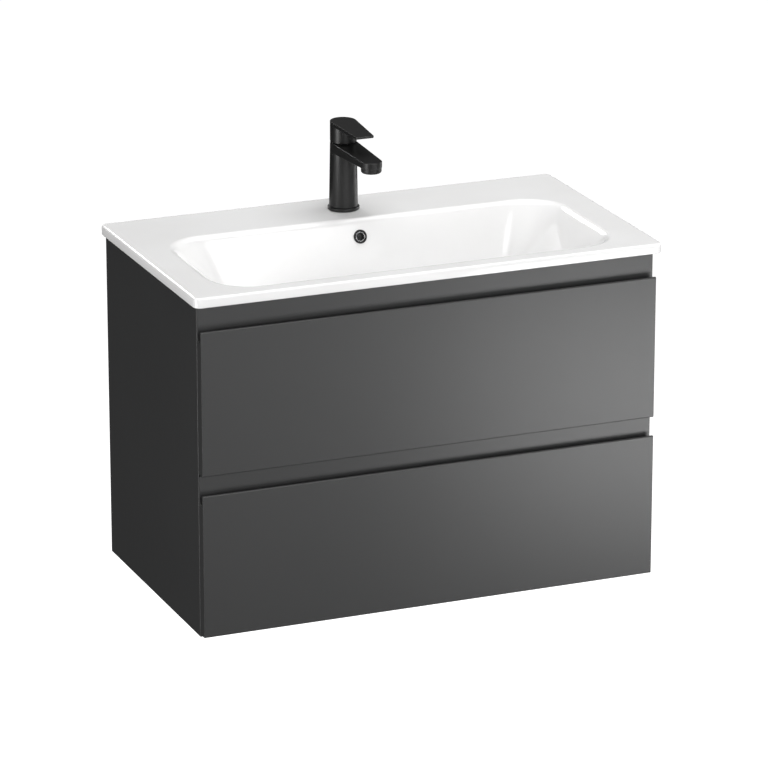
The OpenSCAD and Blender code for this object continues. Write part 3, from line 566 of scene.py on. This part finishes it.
def makeTapLever():
    v = lever
    axisY, hubR = tap["axisY"], v["hubR"]
    axis = (0, axisY, 0)
    hub = [(hubR - v["footEdge"], v["hubLow"]), (hubR, v["hubLow"] + v["footEdge"]),
           (hubR, v["hubHigh"] + 1)]
    piece = turned("tapLever", axis, hub, steps=128)
    back = [(hubR * cos(radians(4 * k)), axisY + hubR * sin(radians(4 * k))) for k in range(-1, 47)]
    tip = softPath([(-hubR, axisY, 0), (-v["tipHalf"], v["tipY"], v["tipCorner"]),
                    (v["tipHalf"], v["tipY"], v["tipCorner"]), (hubR, axisY, 0)], 6)[1:-1]
    plate = slab("plate", back + tip, lambda y: between(y, axisY, v["tipY"], v["hubHigh"], v["tipLow"]),
                 lambda y: between(y, axisY + hubR, v["tipY"], v["top"], v["tipTop"]))
    addBevel(plate, v["edge"], 3, 45)
    bakeModifiers(plate)
    cutWith(piece, plate, "UNION")
    cavity = [(v["cavityR"], v["hubLow"] - tap["over"]), (v["cavityR"], v["hubLow"] + v["cavityD"])]
    cutWith(piece, turned("cavity", axis, cavity, steps=64))
    pin = turned("pinBore", (0, 0, 0), [(v["pinR"], -v["pinHalf"]), (v["pinR"], v["pinHalf"])], steps=32)
    pin.data.transform(Matrix.Translation(Vector((0, axisY, v["pinZ"])) * mm) @
                       Matrix.Rotation(pi / 2, 4, "Y"))
    cutWith(piece, pin)
    half, deep = v["reliefHalf"], v["reliefD"]      # the wedge that lets the hub tip back
    wedge = ((0, 0), (deep, 0), (deep, -half), (0, -half))
    relief = newPiece("relief", [(x, y, z) for x in (-half, half) for y, z in wedge],
                      [(0, 1, 2, 3), (7, 6, 5, 4), (0, 4, 5, 1), (1, 5, 6, 2), (2, 6, 7, 3), (3, 7, 4, 0)])
    place = Matrix.Translation(Vector((0, axisY + v["reliefBack"], v["hubLow"])) * mm)
    relief.data.transform(place @ Matrix.Rotation(radians(v["reliefTurn"]), 4, "X"))
    cutWith(piece, relief)
    capHole = [(v["capR"], v["capFront"]), (v["capR"], v["capBack"])]
    cutWith(piece, turned("capHole", (0, 0, v["capZ"]), capHole, axis="y", steps=32))
    smooth(piece, 28)
    finishPiece(piece, "tap_handle", "satin_black", "tap_lever")


def makeTapTrim():
    b, c = baseRing, screwCap
    ring = softPath([(b["boreR"], b["low"], 0), (b["r"], b["low"], b["lowEdge"]),
                     (b["r"], b["high"], b["highEdge"]), (b["boreR"], b["high"], 0)], 5)
    piece = turned("tapBaseRing", (0, tap["axisY"], 0), ring, steps=128, looped=True)
    smooth(piece, 30)
    finishPiece(piece, "cabinet", "satin_black", "tap_base_ring")
    low, high, middle = spanOf("lever_screw_cap")
    dish = [(c["dishFlat"], low.y + c["dishD"]), (c["dishR"], low.y + c["rim"])]
    edge = [(c["r"] - c["rim"], low.y), (c["r"], low.y + c["rim"]), (c["r"], high.y)]
    cap = turned("leverScrewCap", (0, 0, middle.z), dish + edge, axis="y", steps=32)
    smooth(cap, 30)
    finishPiece(cap, "tap_handle", nodeSlot["lever_screw_cap"], "lever_screw_cap")


# what repeats: node trees for screws, ribs, ball rows and the aerator's cells

def newTree(name, floats=(), vectors=(), counts=()):
    tree = bpy.data.node_groups.new(name, "GeometryNodeTree")
    tree.interface.new_socket("Geometry", in_out="INPUT", socket_type="NodeSocketGeometry")
    kinds = ((floats, "NodeSocketFloat"), (vectors, "NodeSocketVector"), (counts, "NodeSocketInt"))
    for labels, kind in kinds:
        for label in labels:
            tree.interface.new_socket(label, in_out="INPUT", socket_type=kind)
    tree.interface.new_socket("Geometry", in_out="OUTPUT", socket_type="NodeSocketGeometry")
    return tree, tree.nodes.new("NodeGroupInput"), tree.nodes.new("NodeGroupOutput")


def closeTree(tree, source, out, finish):
    realize = tree.nodes.new("GeometryNodeRealizeInstances")
    paint = addNode(tree, "GeometryNodeSetMaterial", Material=finish)
    tree.links.new(source, realize.inputs["Geometry"])
    tree.links.new(realize.outputs["Geometry"], paint.inputs["Geometry"])
    tree.links.new(paint.outputs["Geometry"], out.inputs["Geometry"])


def screwTree(finish):
    tree, start, out = newTree("crossHeadScrews", ("Head Radius", "Head Height", "Slot Width"), ("Facing",))
    head = addNode(tree, "GeometryNodeMeshCylinder", Vertices=20)
    cutter = tree.nodes.new("GeometryNodeMeshBoolean")
    cutter.solver = "EXACT"
    lengthwise, crosswise, up = (tree.nodes.new("ShaderNodeCombineXYZ") for _ in range(3))
    bars = [tree.nodes.new("GeometryNodeMeshCube") for _ in range(2)]
    lift = [tree.nodes.new("GeometryNodeTransform") for _ in range(2)]
    half = addNode(tree, "ShaderNodeMath", {"operation": "MULTIPLY"})
    half.inputs[1].default_value = 0.5
    tree.links.new(start.outputs["Head Radius"], head.inputs["Radius"])
    tree.links.new(start.outputs["Head Height"], head.inputs["Depth"])
    tree.links.new(start.outputs["Head Height"], half.inputs[0])
    tree.links.new(half.outputs[0], up.inputs["Z"])
    for node, wide in ((lengthwise, "X"), (crosswise, "Y")):
        tree.links.new(start.outputs["Head Radius"], node.inputs[wide])
        tree.links.new(start.outputs["Slot Width"], node.inputs["Y" if wide == "X" else "X"])
        tree.links.new(start.outputs["Head Height"], node.inputs["Z"])
    for bar, dims, move in zip(bars, (lengthwise, crosswise), lift):
        tree.links.new(dims.outputs["Vector"], bar.inputs["Size"])
        tree.links.new(bar.outputs["Mesh"], move.inputs["Geometry"])
        tree.links.new(up.outputs["Vector"], move.inputs["Translation"])
        tree.links.new(move.outputs["Geometry"], cutter.inputs["Mesh 2"])
    tree.links.new(head.outputs["Mesh"], cutter.inputs["Mesh 1"])
    aim = tree.nodes.new("FunctionNodeAlignRotationToVector")
    tree.links.new(start.outputs["Facing"], aim.inputs["Vector"])
    place = tree.nodes.new("GeometryNodeInstanceOnPoints")
    tree.links.new(start.outputs["Geometry"], place.inputs["Points"])
    tree.links.new(cutter.outputs["Mesh"], place.inputs["Instance"])
    tree.links.new(aim.outputs["Rotation"], place.inputs["Rotation"])
    closeTree(tree, place.outputs["Instances"], out, finish)
    return tree


def ribTree(finish):
    tree, start, out = newTree("gripRibs", ("Ring Radius", "Rib Radius", "Rib Length"), ("Centre", "Turn"),
                               ("Ribs",))
    ring = tree.nodes.new("GeometryNodeMeshCircle")
    rib = addNode(tree, "GeometryNodeMeshCylinder", Vertices=10)
    place = tree.nodes.new("GeometryNodeInstanceOnPoints")
    move = tree.nodes.new("GeometryNodeTransform")
    join = tree.nodes.new("GeometryNodeJoinGeometry")
    tree.links.new(start.outputs["Ribs"], ring.inputs["Vertices"])
    tree.links.new(start.outputs["Ring Radius"], ring.inputs["Radius"])
    tree.links.new(start.outputs["Rib Radius"], rib.inputs["Radius"])
    tree.links.new(start.outputs["Rib Length"], rib.inputs["Depth"])
    tree.links.new(ring.outputs["Mesh"], place.inputs["Points"])
    tree.links.new(rib.outputs["Mesh"], place.inputs["Instance"])
    tree.links.new(place.outputs["Instances"], move.inputs["Geometry"])
    tree.links.new(start.outputs["Centre"], move.inputs["Translation"])
    tree.links.new(start.outputs["Turn"], move.inputs["Rotation"])
    tree.links.new(move.outputs["Geometry"], join.inputs["Geometry"])
    tree.links.new(start.outputs["Geometry"], join.inputs["Geometry"])
    closeTree(tree, join.outputs["Geometry"], out, finish)
    return tree


def ballTree(finish):
    tree, start, out = newTree("ballRows", ("Ball Radius",), ("Pitch",), ("Balls",))
    row = tree.nodes.new("GeometryNodeMeshLine")
    ball = addNode(tree, "GeometryNodeMeshUVSphere", Segments=8, Rings=6)
    string, rows = (tree.nodes.new("GeometryNodeInstanceOnPoints") for _ in range(2))
    tree.links.new(start.outputs["Balls"], row.inputs["Count"])
    tree.links.new(start.outputs["Pitch"], row.inputs["Offset"])
    tree.links.new(start.outputs["Ball Radius"], ball.inputs["Radius"])
    tree.links.new(row.outputs["Mesh"], string.inputs["Points"])
    tree.links.new(ball.outputs["Mesh"], string.inputs["Instance"])
    tree.links.new(start.outputs["Geometry"], rows.inputs["Points"])
    tree.links.new(string.outputs["Instances"], rows.inputs["Instance"])
    closeTree(tree, rows.outputs["Instances"], out, finish)
    return tree


def grow(piece, tree, **values):
    grower = piece.modifiers.new("grow", "NODES")
    grower.node_group = tree
    for item in tree.interface.items_tree:
        if item.item_type == "SOCKET" and item.in_out == "INPUT" and item.name.replace(" ", "") in values:
            grower[item.identifier] = values[item.name.replace(" ", "")]
    bakeModifiers(piece)


trees = {"zincScrews": screwTree(finishes["zinc_steel"]), "ribs": ribTree(finishes["white_plastic"]),
         "balls": ballTree(finishes["zinc_steel"])}


def makeScrews(name, body, slotName, points, facing, radius, height, slotWidth, *nodes):
    piece = newPiece(name, points, [])
    grow(piece, trees["zincScrews"], HeadRadius=radius * mm, HeadHeight=height * mm,
         SlotWidth=slotWidth * mm, Facing=facing)
    smooth(piece, 30, weighted=False)
    finishPiece(piece, body, slotName, *nodes)


# waste and trap: ribbed nuts, a ribbed cup and the rosette, all turned on their pipes

drain = {"y": -280.5, "pipeR": 16.4, "ribCount": 24, "ribR": 0.9, "nutEdge": 1.2, "nutMouthR": 21.2,
         "outletMouthR": 19.9, "topWall": 4, "outletWall": 7}
cupShape = {"ribs": 16, "ribR": 1.3, "ribL": 24, "ribIn": 1.4, "ribUp": 19, "skirt": 0.5, "collarD": 6,
            "stepD": 14, "neckR": 26.8, "mouthR": 24, "boreR": 23.8, "boreUp": 6, "floorUp": 4,
            "footR": 14.5, "footIn": 13, "corner": 3}
rosetteShape = {"boreR": 16.3, "flat": 1.6, "edge": 0.8, "sweepR": 29, "sweepD": 5.5, "sweep": 6,
                "noseR": 21, "noseEdge": 1.2}
plugShape = {"stemR": 4, "underZ": 465.3, "r": 29.5, "bevel": 0.9, "side": 2.2, "crown": 2.4, "tipR": 0.6}


def ribbedNut(name, node, centre, profile, ribLength, ribCentre, turn, axis):
    low, high, middle = spanOf(node)
    piece = turned(name, centre, softPath(profile, 4), axis=axis, steps=96, looped=True)
    grow(piece, trees["ribs"], RingRadius=(high.x - drain["ribR"] * 0.8 - 0.1) * mm,
         RibRadius=drain["ribR"] * mm, RibLength=ribLength * mm, Centre=ribCentre * mm, Turn=turn,
         Ribs=drain["ribCount"])
    smooth(piece, 32)
    finishPiece(piece, "cabinet", "white_plastic", node)


def makeNuts():
    d = drain
    for name, node in (("trapInletNut", "trap_inlet_nut"), ("trapTopNut", "trap_top_nut")):
        low, high, middle = spanOf(node)
        r, shelf = high.x - d["ribR"] * 0.8, low.z + d["topWall"]
        profile = [(d["pipeR"], low.z, 0), (r, low.z, d["nutEdge"]), (r, high.z, d["nutEdge"]),
                   (d["nutMouthR"], high.z, 0.4), (d["nutMouthR"], shelf, 0), (d["pipeR"], shelf, 0)]
        ribbedNut(name, node, (0, d["y"], 0), profile, high.z - low.z - 2.4 * d["nutEdge"],
                  Vector((0, d["y"], middle.z)), (0, 0, 0), "z")
    low, high, middle = spanOf("trap_outlet_nut")
    r, shelf = high.x - d["ribR"] * 0.8, high.y - d["outletWall"]
    profile = [(d["pipeR"], high.y, 0), (r, high.y, d["nutEdge"]), (r, low.y, d["nutEdge"]),
               (d["outletMouthR"], low.y, 0.4), (d["outletMouthR"], shelf, 0), (d["pipeR"], shelf, 0)]
    ribbedNut("trapOutletNut", "trap_outlet_nut", (0, 0, middle.z), profile,
              high.y - low.y - 2.5 * d["nutEdge"], middle, (pi / 2, 0, 0), "y")


def makeTrap():
    c, s = cupShape, rosetteShape
    low, high, middle = spanOf("trap_cup")
    r, top, axis = high.x - c["skirt"], high.z - c["collarD"], 0.01
    outside = [(axis, low.z + 1, 0), (c["footIn"], low.z + 1, 0), (c["footR"], low.z, 0),
               (r - c["corner"], low.z, 0), (r, low.z + c["corner"], 3), (r, top - c["stepD"], 0),
               (high.x, top - c["stepD"] + 1, 0), (high.x, top - 1, 0.8), (high.x - 0.8, top, 0),
               (c["neckR"], top, 0), (c["neckR"], high.z, 0.5)]
    inside = [(c["mouthR"], high.z, 0.5), (c["boreR"], low.z + c["boreUp"], 2.5),
              (axis, low.z + c["floorUp"], 0)]
    cup = turned("trapCup", (0, drain["y"], 0), softPath(outside + inside, 4), steps=96)
    grow(cup, trees["ribs"], RingRadius=(high.x - c["ribIn"]) * mm, RibRadius=c["ribR"] * mm,
         RibLength=c["ribL"] * mm, Centre=Vector((0, drain["y"], low.z + c["ribUp"])) * mm, Turn=(0, 0, 0),
         Ribs=c["ribs"])
    smooth(cup, 32)
    finishPiece(cup, "cabinet", "white_plastic", "trap_cup")
    low, high, middle = spanOf("wall_rosette")
    profile = [(s["boreR"], high.y, 0), (high.x, high.y, 0), (high.x, high.y - s["flat"], s["edge"]),
               (s["sweepR"], high.y - s["sweepD"], s["sweep"]), (s["noseR"], low.y, s["noseEdge"]),
               (s["boreR"], low.y, 0.4)]
    rosette = turned("wallRosette", (0, 0, middle.z), softPath(profile, 6), axis="y", steps=96, looped=True)
    smooth(rosette, 32)
    finishPiece(rosette, "cabinet", "white_plastic", "wall_rosette")


def makePlug():
    p = plugShape
    low, high, middle = spanOf("waste_plug")
    under, crown = p["underZ"], p["crown"]
    profile = [(p["stemR"], low.z), (p["stemR"], under), (p["r"] - p["bevel"], under),
               (p["r"], under + p["bevel"]), (p["r"], under + p["side"])]
    profile += [(p["r"] * cos(radians(a)), high.z - crown + crown * sin(radians(a)))
                for a in range(8, 90, 8)]
    piece = turned("wastePlug", (0, drain["y"], 0), profile + [(p["tipR"], high.z)], steps=96)
    smooth(piece, 34)
    finishPiece(piece, "plug", "chrome", "waste_plug")


# the overflow's ring has a sieve at its inner end and a bright liner at its mouth

ringShape = {"outR": 11.8, "proud": 1.8, "edge": 1.2, "sleeveR": 8.9, "sleeveL": 10, "lipR": 9.3,
             "throatR": 8.2, "boreR": 7.9, "sieveR": 2.2, "sieveZ": 8.9}
linerShape = {"r": 7.9, "boreR": 7.3, "front": -0.9, "back": 0.4, "edge": 0.25}


def makeOverflow():
    r, k = ringShape, linerShape
    turn = Matrix.Translation(overflowAt() * mm) @ overflowTurn()
    outside = [(r["sleeveR"], r["sleeveL"], 0), (r["sleeveR"], 0, 0), (r["outR"], 0, 0.2),
               (r["outR"], -r["proud"], r["edge"])]
    inside = [(r["lipR"], -r["proud"], 0.5), (r["throatR"], -0.6, 0.4), (r["boreR"], r["sieveZ"], 0),
              (r["sieveR"], r["sieveZ"] + 0.3, 0.1), (r["sieveR"], r["sleeveL"], 0)]
    ring = turned("overflowRing", (0, 0, 0), softPath(outside + inside, 5), steps=96, looped=True)
    lining = [(k["r"], k["back"], 0), (k["r"], k["front"], k["edge"]), (k["boreR"], k["front"], k["edge"]),
              (k["boreR"], k["back"], 0)]
    liner = turned("overflowLiner", (0, 0, 0), softPath(lining, 4), steps=96, looped=True)
    for piece, slotName, nodes in ((ring, "satin_black", ["overflow_ring"]), (liner, "chrome", [])):
        piece.data.transform(turn)
        smooth(piece, 32)
        finishPiece(piece, "cabinet", slotName, *nodes)


# runners, screws and cams

runnerBalls = {"levels": {"upper": 320, "lower": 52}, "x": 376.2, "rowZ": 15.4, "fromEnd": 14, "r": 0.85,
               "pitch": 8, "count": 40}
bracketScrews = {"inset": 11, "sink": 2.5, "rise": (10, 30), "r": 3.6, "h": 1.4, "slot": 1.0}
hangerScrews = {"inset": 9, "sink": 0.2, "rise": (14, 40), "r": 4.2, "h": 1.2, "slot": 1.1}
camHeads = {"x": 350, "floorY": (-60, -377), "floorZ": 6.25,
            "railAt": ((-27.75, 458.5), (-27.75, 546), (-9.75, 28.5), (-9.75, 76)), "r": 7.4, "h": 12.5,
            "slot": 1.6}


def makeHardware():
    for level, z in runnerBalls["levels"].items():
        r, c = runnerBalls, bracketScrews
        low, high, middle = spanOf(f"{level}_middle_rails")
        starts = [(side * r["x"], low.y + r["fromEnd"], z + dz) for side in (-1, 1)
                  for dz in (-r["rowZ"], r["rowZ"])]
        balls = newPiece(f"{level}RunnerBalls", starts, [])
        grow(balls, trees["balls"], BallRadius=r["r"] * mm, Pitch=Vector((0, r["pitch"], 0)) * mm,
             Balls=r["count"])
        balls.data.shade_smooth()
        finishPiece(balls, nodeBody[f"{level}_middle_rails"], "zinc_steel")
        low, high, middle = spanOf(f"{level}_front_brackets")
        heads = [(side * (high.x - c["inset"]), low.y + c["sink"], low.z + dz) for side in (-1, 1)
                 for dz in c["rise"]]
        makeScrews(f"{level}BracketScrews", nodeBody[f"{level}_front_brackets"], "zinc_steel", heads,
                   (0, 1, 0), c["r"], c["h"], c["slot"])
    h, c = hangerScrews, camHeads
    low, high, middle = spanOf("hanger_brackets")
    heads = [(side * (high.x - h["inset"]), low.y + h["sink"], low.z + dz) for side in (-1, 1)
             for dz in h["rise"]]
    makeScrews("hangerScrews", "cabinet", "zinc_steel", heads, (0, -1, 0), h["r"], h["h"], h["slot"])
    cams = [(side * c["x"], y, c["floorZ"]) for side in (-1, 1) for y in c["floorY"]]
    makeScrews("bottomCams", "cabinet", "zinc_steel", cams, (0, 0, -1), c["r"], c["h"], c["slot"],
               "cam_locks")
    cams = [(side * c["x"], y, z) for side in (-1, 1) for y, z in c["railAt"]]
    makeScrews("railCams", "cabinet", "zinc_steel", cams, (0, -1, 0), c["r"], c["h"], c["slot"])


aeratorShape = {"axisR": 0.6, "faceUp": 2.2, "faceR": 9.3, "mouthR": 9.5, "pitch": 1.5, "rowPitch": 1.3,
                "fieldR": 8.4, "cellUp": 1.9, "cellR": 0.62, "cellH": 0.7, "slot": 0.25, "reach": 6}


def makeAerator():
    a = aeratorShape
    low, high, middle = spanOf("tap_aerator")
    profile = [(a["axisR"], low.z + a["faceUp"], 0), (a["faceR"], low.z + a["faceUp"], 0.3),
               (a["mouthR"], low.z, 0.4), (high.x, low.z, 0.5), (high.x, high.z, 0.3),
               (a["axisR"], high.z, 0)]
    piece = turned("tapAerator", (0, middle.y, 0), softPath(profile, 4), steps=96)
    smooth(piece, 32)
    finishPiece(piece, "cabinet", "satin_black", "tap_aerator")
    steps = range(-a["reach"], a["reach"] + 1)
    spots = [(a["pitch"] * (i + 0.5 * (j % 2)), a["rowPitch"] * j) for i in steps for j in steps]
    cells = [(u, middle.y + v, low.z + a["cellUp"]) for u, v in spots if hypot(u, v) < a["fieldR"]]
    mesh = newPiece("aeratorCells", cells, [])
    grow(mesh, trees["zincScrews"], HeadRadius=a["cellR"] * mm, HeadHeight=a["cellH"] * mm,
         SlotWidth=a["slot"] * mm, Facing=(0, 0, -1))
    finishPiece(mesh, "cabinet", "grey_plastic")


makeBasin()
print("basin made")
makeFront("upperFront", "upper_front", "upper_front_backing")
makeFront("lowerFront", "lower_front", "lower_front_backing")
print("fronts made")
makeTapBody()
makeTapLever()
makeTapTrim()
makeAerator()
print("tap made")
makeNuts()
makeTrap()
makePlug()
makeOverflow()
print("waste, trap and overflow made")
makeHardware()
print("hardware made")

easedBoards = {
    "sidePanelLeft": ("side_panel_left", 1.4), "sidePanelRight": ("side_panel_right", 1.4),
    "bottomPanel": ("bottom_panel", 0.5), "backRailUpper": ("back_rail_upper", 0.4),
    "backRailLower": ("back_rail_lower", 0.4), "frontStretcher": ("front_stretcher", 0.3),
    "upperDrawerFloor": ("upper_bottom", 0.6), "lowerDrawerFloor": ("lower_bottom", 0.6),
    "upperDrawerBacks": ("upper_backs", 0.6), "lowerDrawerBack": ("lower_back", 0.6),
    "upperSideLeft": ("upper_side_left", 0.5), "upperSideRight": ("upper_side_right", 0.5),
    "lowerSideLeft": ("lower_side_left", 0.5), "lowerSideRight": ("lower_side_right", 0.5),
    "trapLiner": ("upper_trap_liner", 1.2), "hangerBrackets": ("hanger_brackets", 1.0),
    "wallPlates": ("wall_plates", 0.4), "wasteBody": ("waste_body", 0.4),
    "upperFrontBrackets": ("upper_front_brackets", 0.3), "lowerFrontBrackets": ("lower_front_brackets", 0.3),
    "trapBottle": ("trap_body", 0.8), "frontBumpers": ("front_bumpers", 0.25),
}
for name, (node, width) in easedBoards.items():
    softened(name, node, width)
print("boards eased:", len(easedBoards))

for node, obj in frame["nodes"].items():       # nodes that stay as they are get their finish
    if not obj.hide_render:
        obj.data.materials.clear()
        obj.data.materials.append(finishes[nodeSlot[node]])


# floor, light and camera

studio = {"floorZ": -900, "floorHalf": 20000, "floorGlow": 0.97, "world": 0.05, "lens": 224.0,
          "distance": 8.0, "azimuth": -22.36, "elevation": 18.28, "target": (0.008, -0.230, 0.3192),
          "sensor": 36, "clipEnd": 100}


def makeFloor():
    # lit from within like a paper sweep, and left out of reflections
    low, half = studio["floorZ"], studio["floorHalf"]
    corners = [(-half, -half, low), (half, -half, low), (half, half, low), (-half, half, low)]
    floor = newPiece("studioFloor", corners, [(0, 1, 2, 3)])
    paint = makeFinish("paleFloor", grey(0.5), 0.9, Emission_Color=(1, 1, 1, 1),
                       Emission_Strength=studio["floorGlow"])
    tintBy(paint, grainOf(paint, 3, 2), grey(0.49), grey(0.51))
    floor.data.materials.append(paint)
    floor.visible_glossy = False
    floor.visible_diffuse = False


def makeWorld():
    world = bpy.data.worlds.new("paleStudio")
    bpy.context.scene.world = world
    world.use_nodes = True
    tree = world.node_tree
    sky = tree.nodes["Background"]
    sky.inputs["Color"].default_value = (1, 1, 1, 1)
    sky.inputs["Strength"].default_value = studio["world"]
    paper = addNode(tree, "ShaderNodeBackground", Color=(1, 1, 1, 1), Strength=1.0)
    path = tree.nodes.new("ShaderNodeLightPath")
    mix = tree.nodes.new("ShaderNodeMixShader")
    tree.links.new(path.outputs["Is Camera Ray"], mix.inputs[0])
    tree.links.new(sky.outputs[0], mix.inputs[1])
    tree.links.new(paper.outputs[0], mix.inputs[2])
    tree.links.new(mix.outputs[0], tree.nodes["World Output"].inputs["Surface"])


def aimed(location, target):
    return (Vector(target) - Vector(location)).to_track_quat("-Z", "Y").to_euler()


def addSoftbox(name, location, target, width, height, power):
    light = bpy.data.lights.new(name, "AREA")
    light.shape = "RECTANGLE"
    light.size, light.size_y, light.energy = width, height, power
    box = bpy.data.objects.new(name, light)
    box.location = location
    box.rotation_euler = aimed(location, target)
    box.visible_camera = False
    bpy.context.scene.collection.objects.link(box)


def makeCamera():
    az, el = radians(studio["azimuth"]), radians(studio["elevation"])
    target = Vector(studio["target"])
    back = Vector((sin(az) * cos(el), -cos(az) * cos(el), sin(el)))
    data = bpy.data.cameras.new("camera")
    data.lens, data.sensor_width = studio["lens"], studio["sensor"]
    data.clip_end = studio["clipEnd"]
    camera = bpy.data.objects.new("camera", data)
    camera.location = target + back * studio["distance"]
    camera.rotation_euler = aimed(camera.location, target)
    bpy.context.scene.collection.objects.link(camera)
    bpy.context.scene.camera = camera


makeFloor()
makeWorld()
softboxes = {
    "overhead": ((0.32, -0.5, 3.2), (0, -0.25, 0.4), 3.0, 3.0, 94),
    "frontFill": ((0.1, -4.2, 1.3), (0, -0.3, 0.4), 3.0, 2.4, 80),
    "leftFill": ((-3.4, -1.2, 0.1), (-0.3, -0.25, 0.35), 1.5, 2.2, 86),
    "frontGlow": ((0.87, -1.35, 0.0), (0.42, -0.457, 0.27), 0.72, 0.46, 7.4),
    "frontSheen": ((0.9, -3.4, -0.75), (-0.1, -0.457, 0.3), 2.8, 1.2, 8.5),
    "rightFill": ((3.6, 0.3, 0.9), (0.3, -0.2, 0.4), 1.6, 1.4, 40),
    "rearFill": ((-0.2, 3.1, 2.35), (0, -0.1, 0.35), 1.1, 0.7, 36),
}
for name, (location, target, width, height, power) in softboxes.items():
    addSoftbox(name, location, target, width, height, power)
makeCamera()
bpy.context.scene.view_settings.view_transform = "Standard"
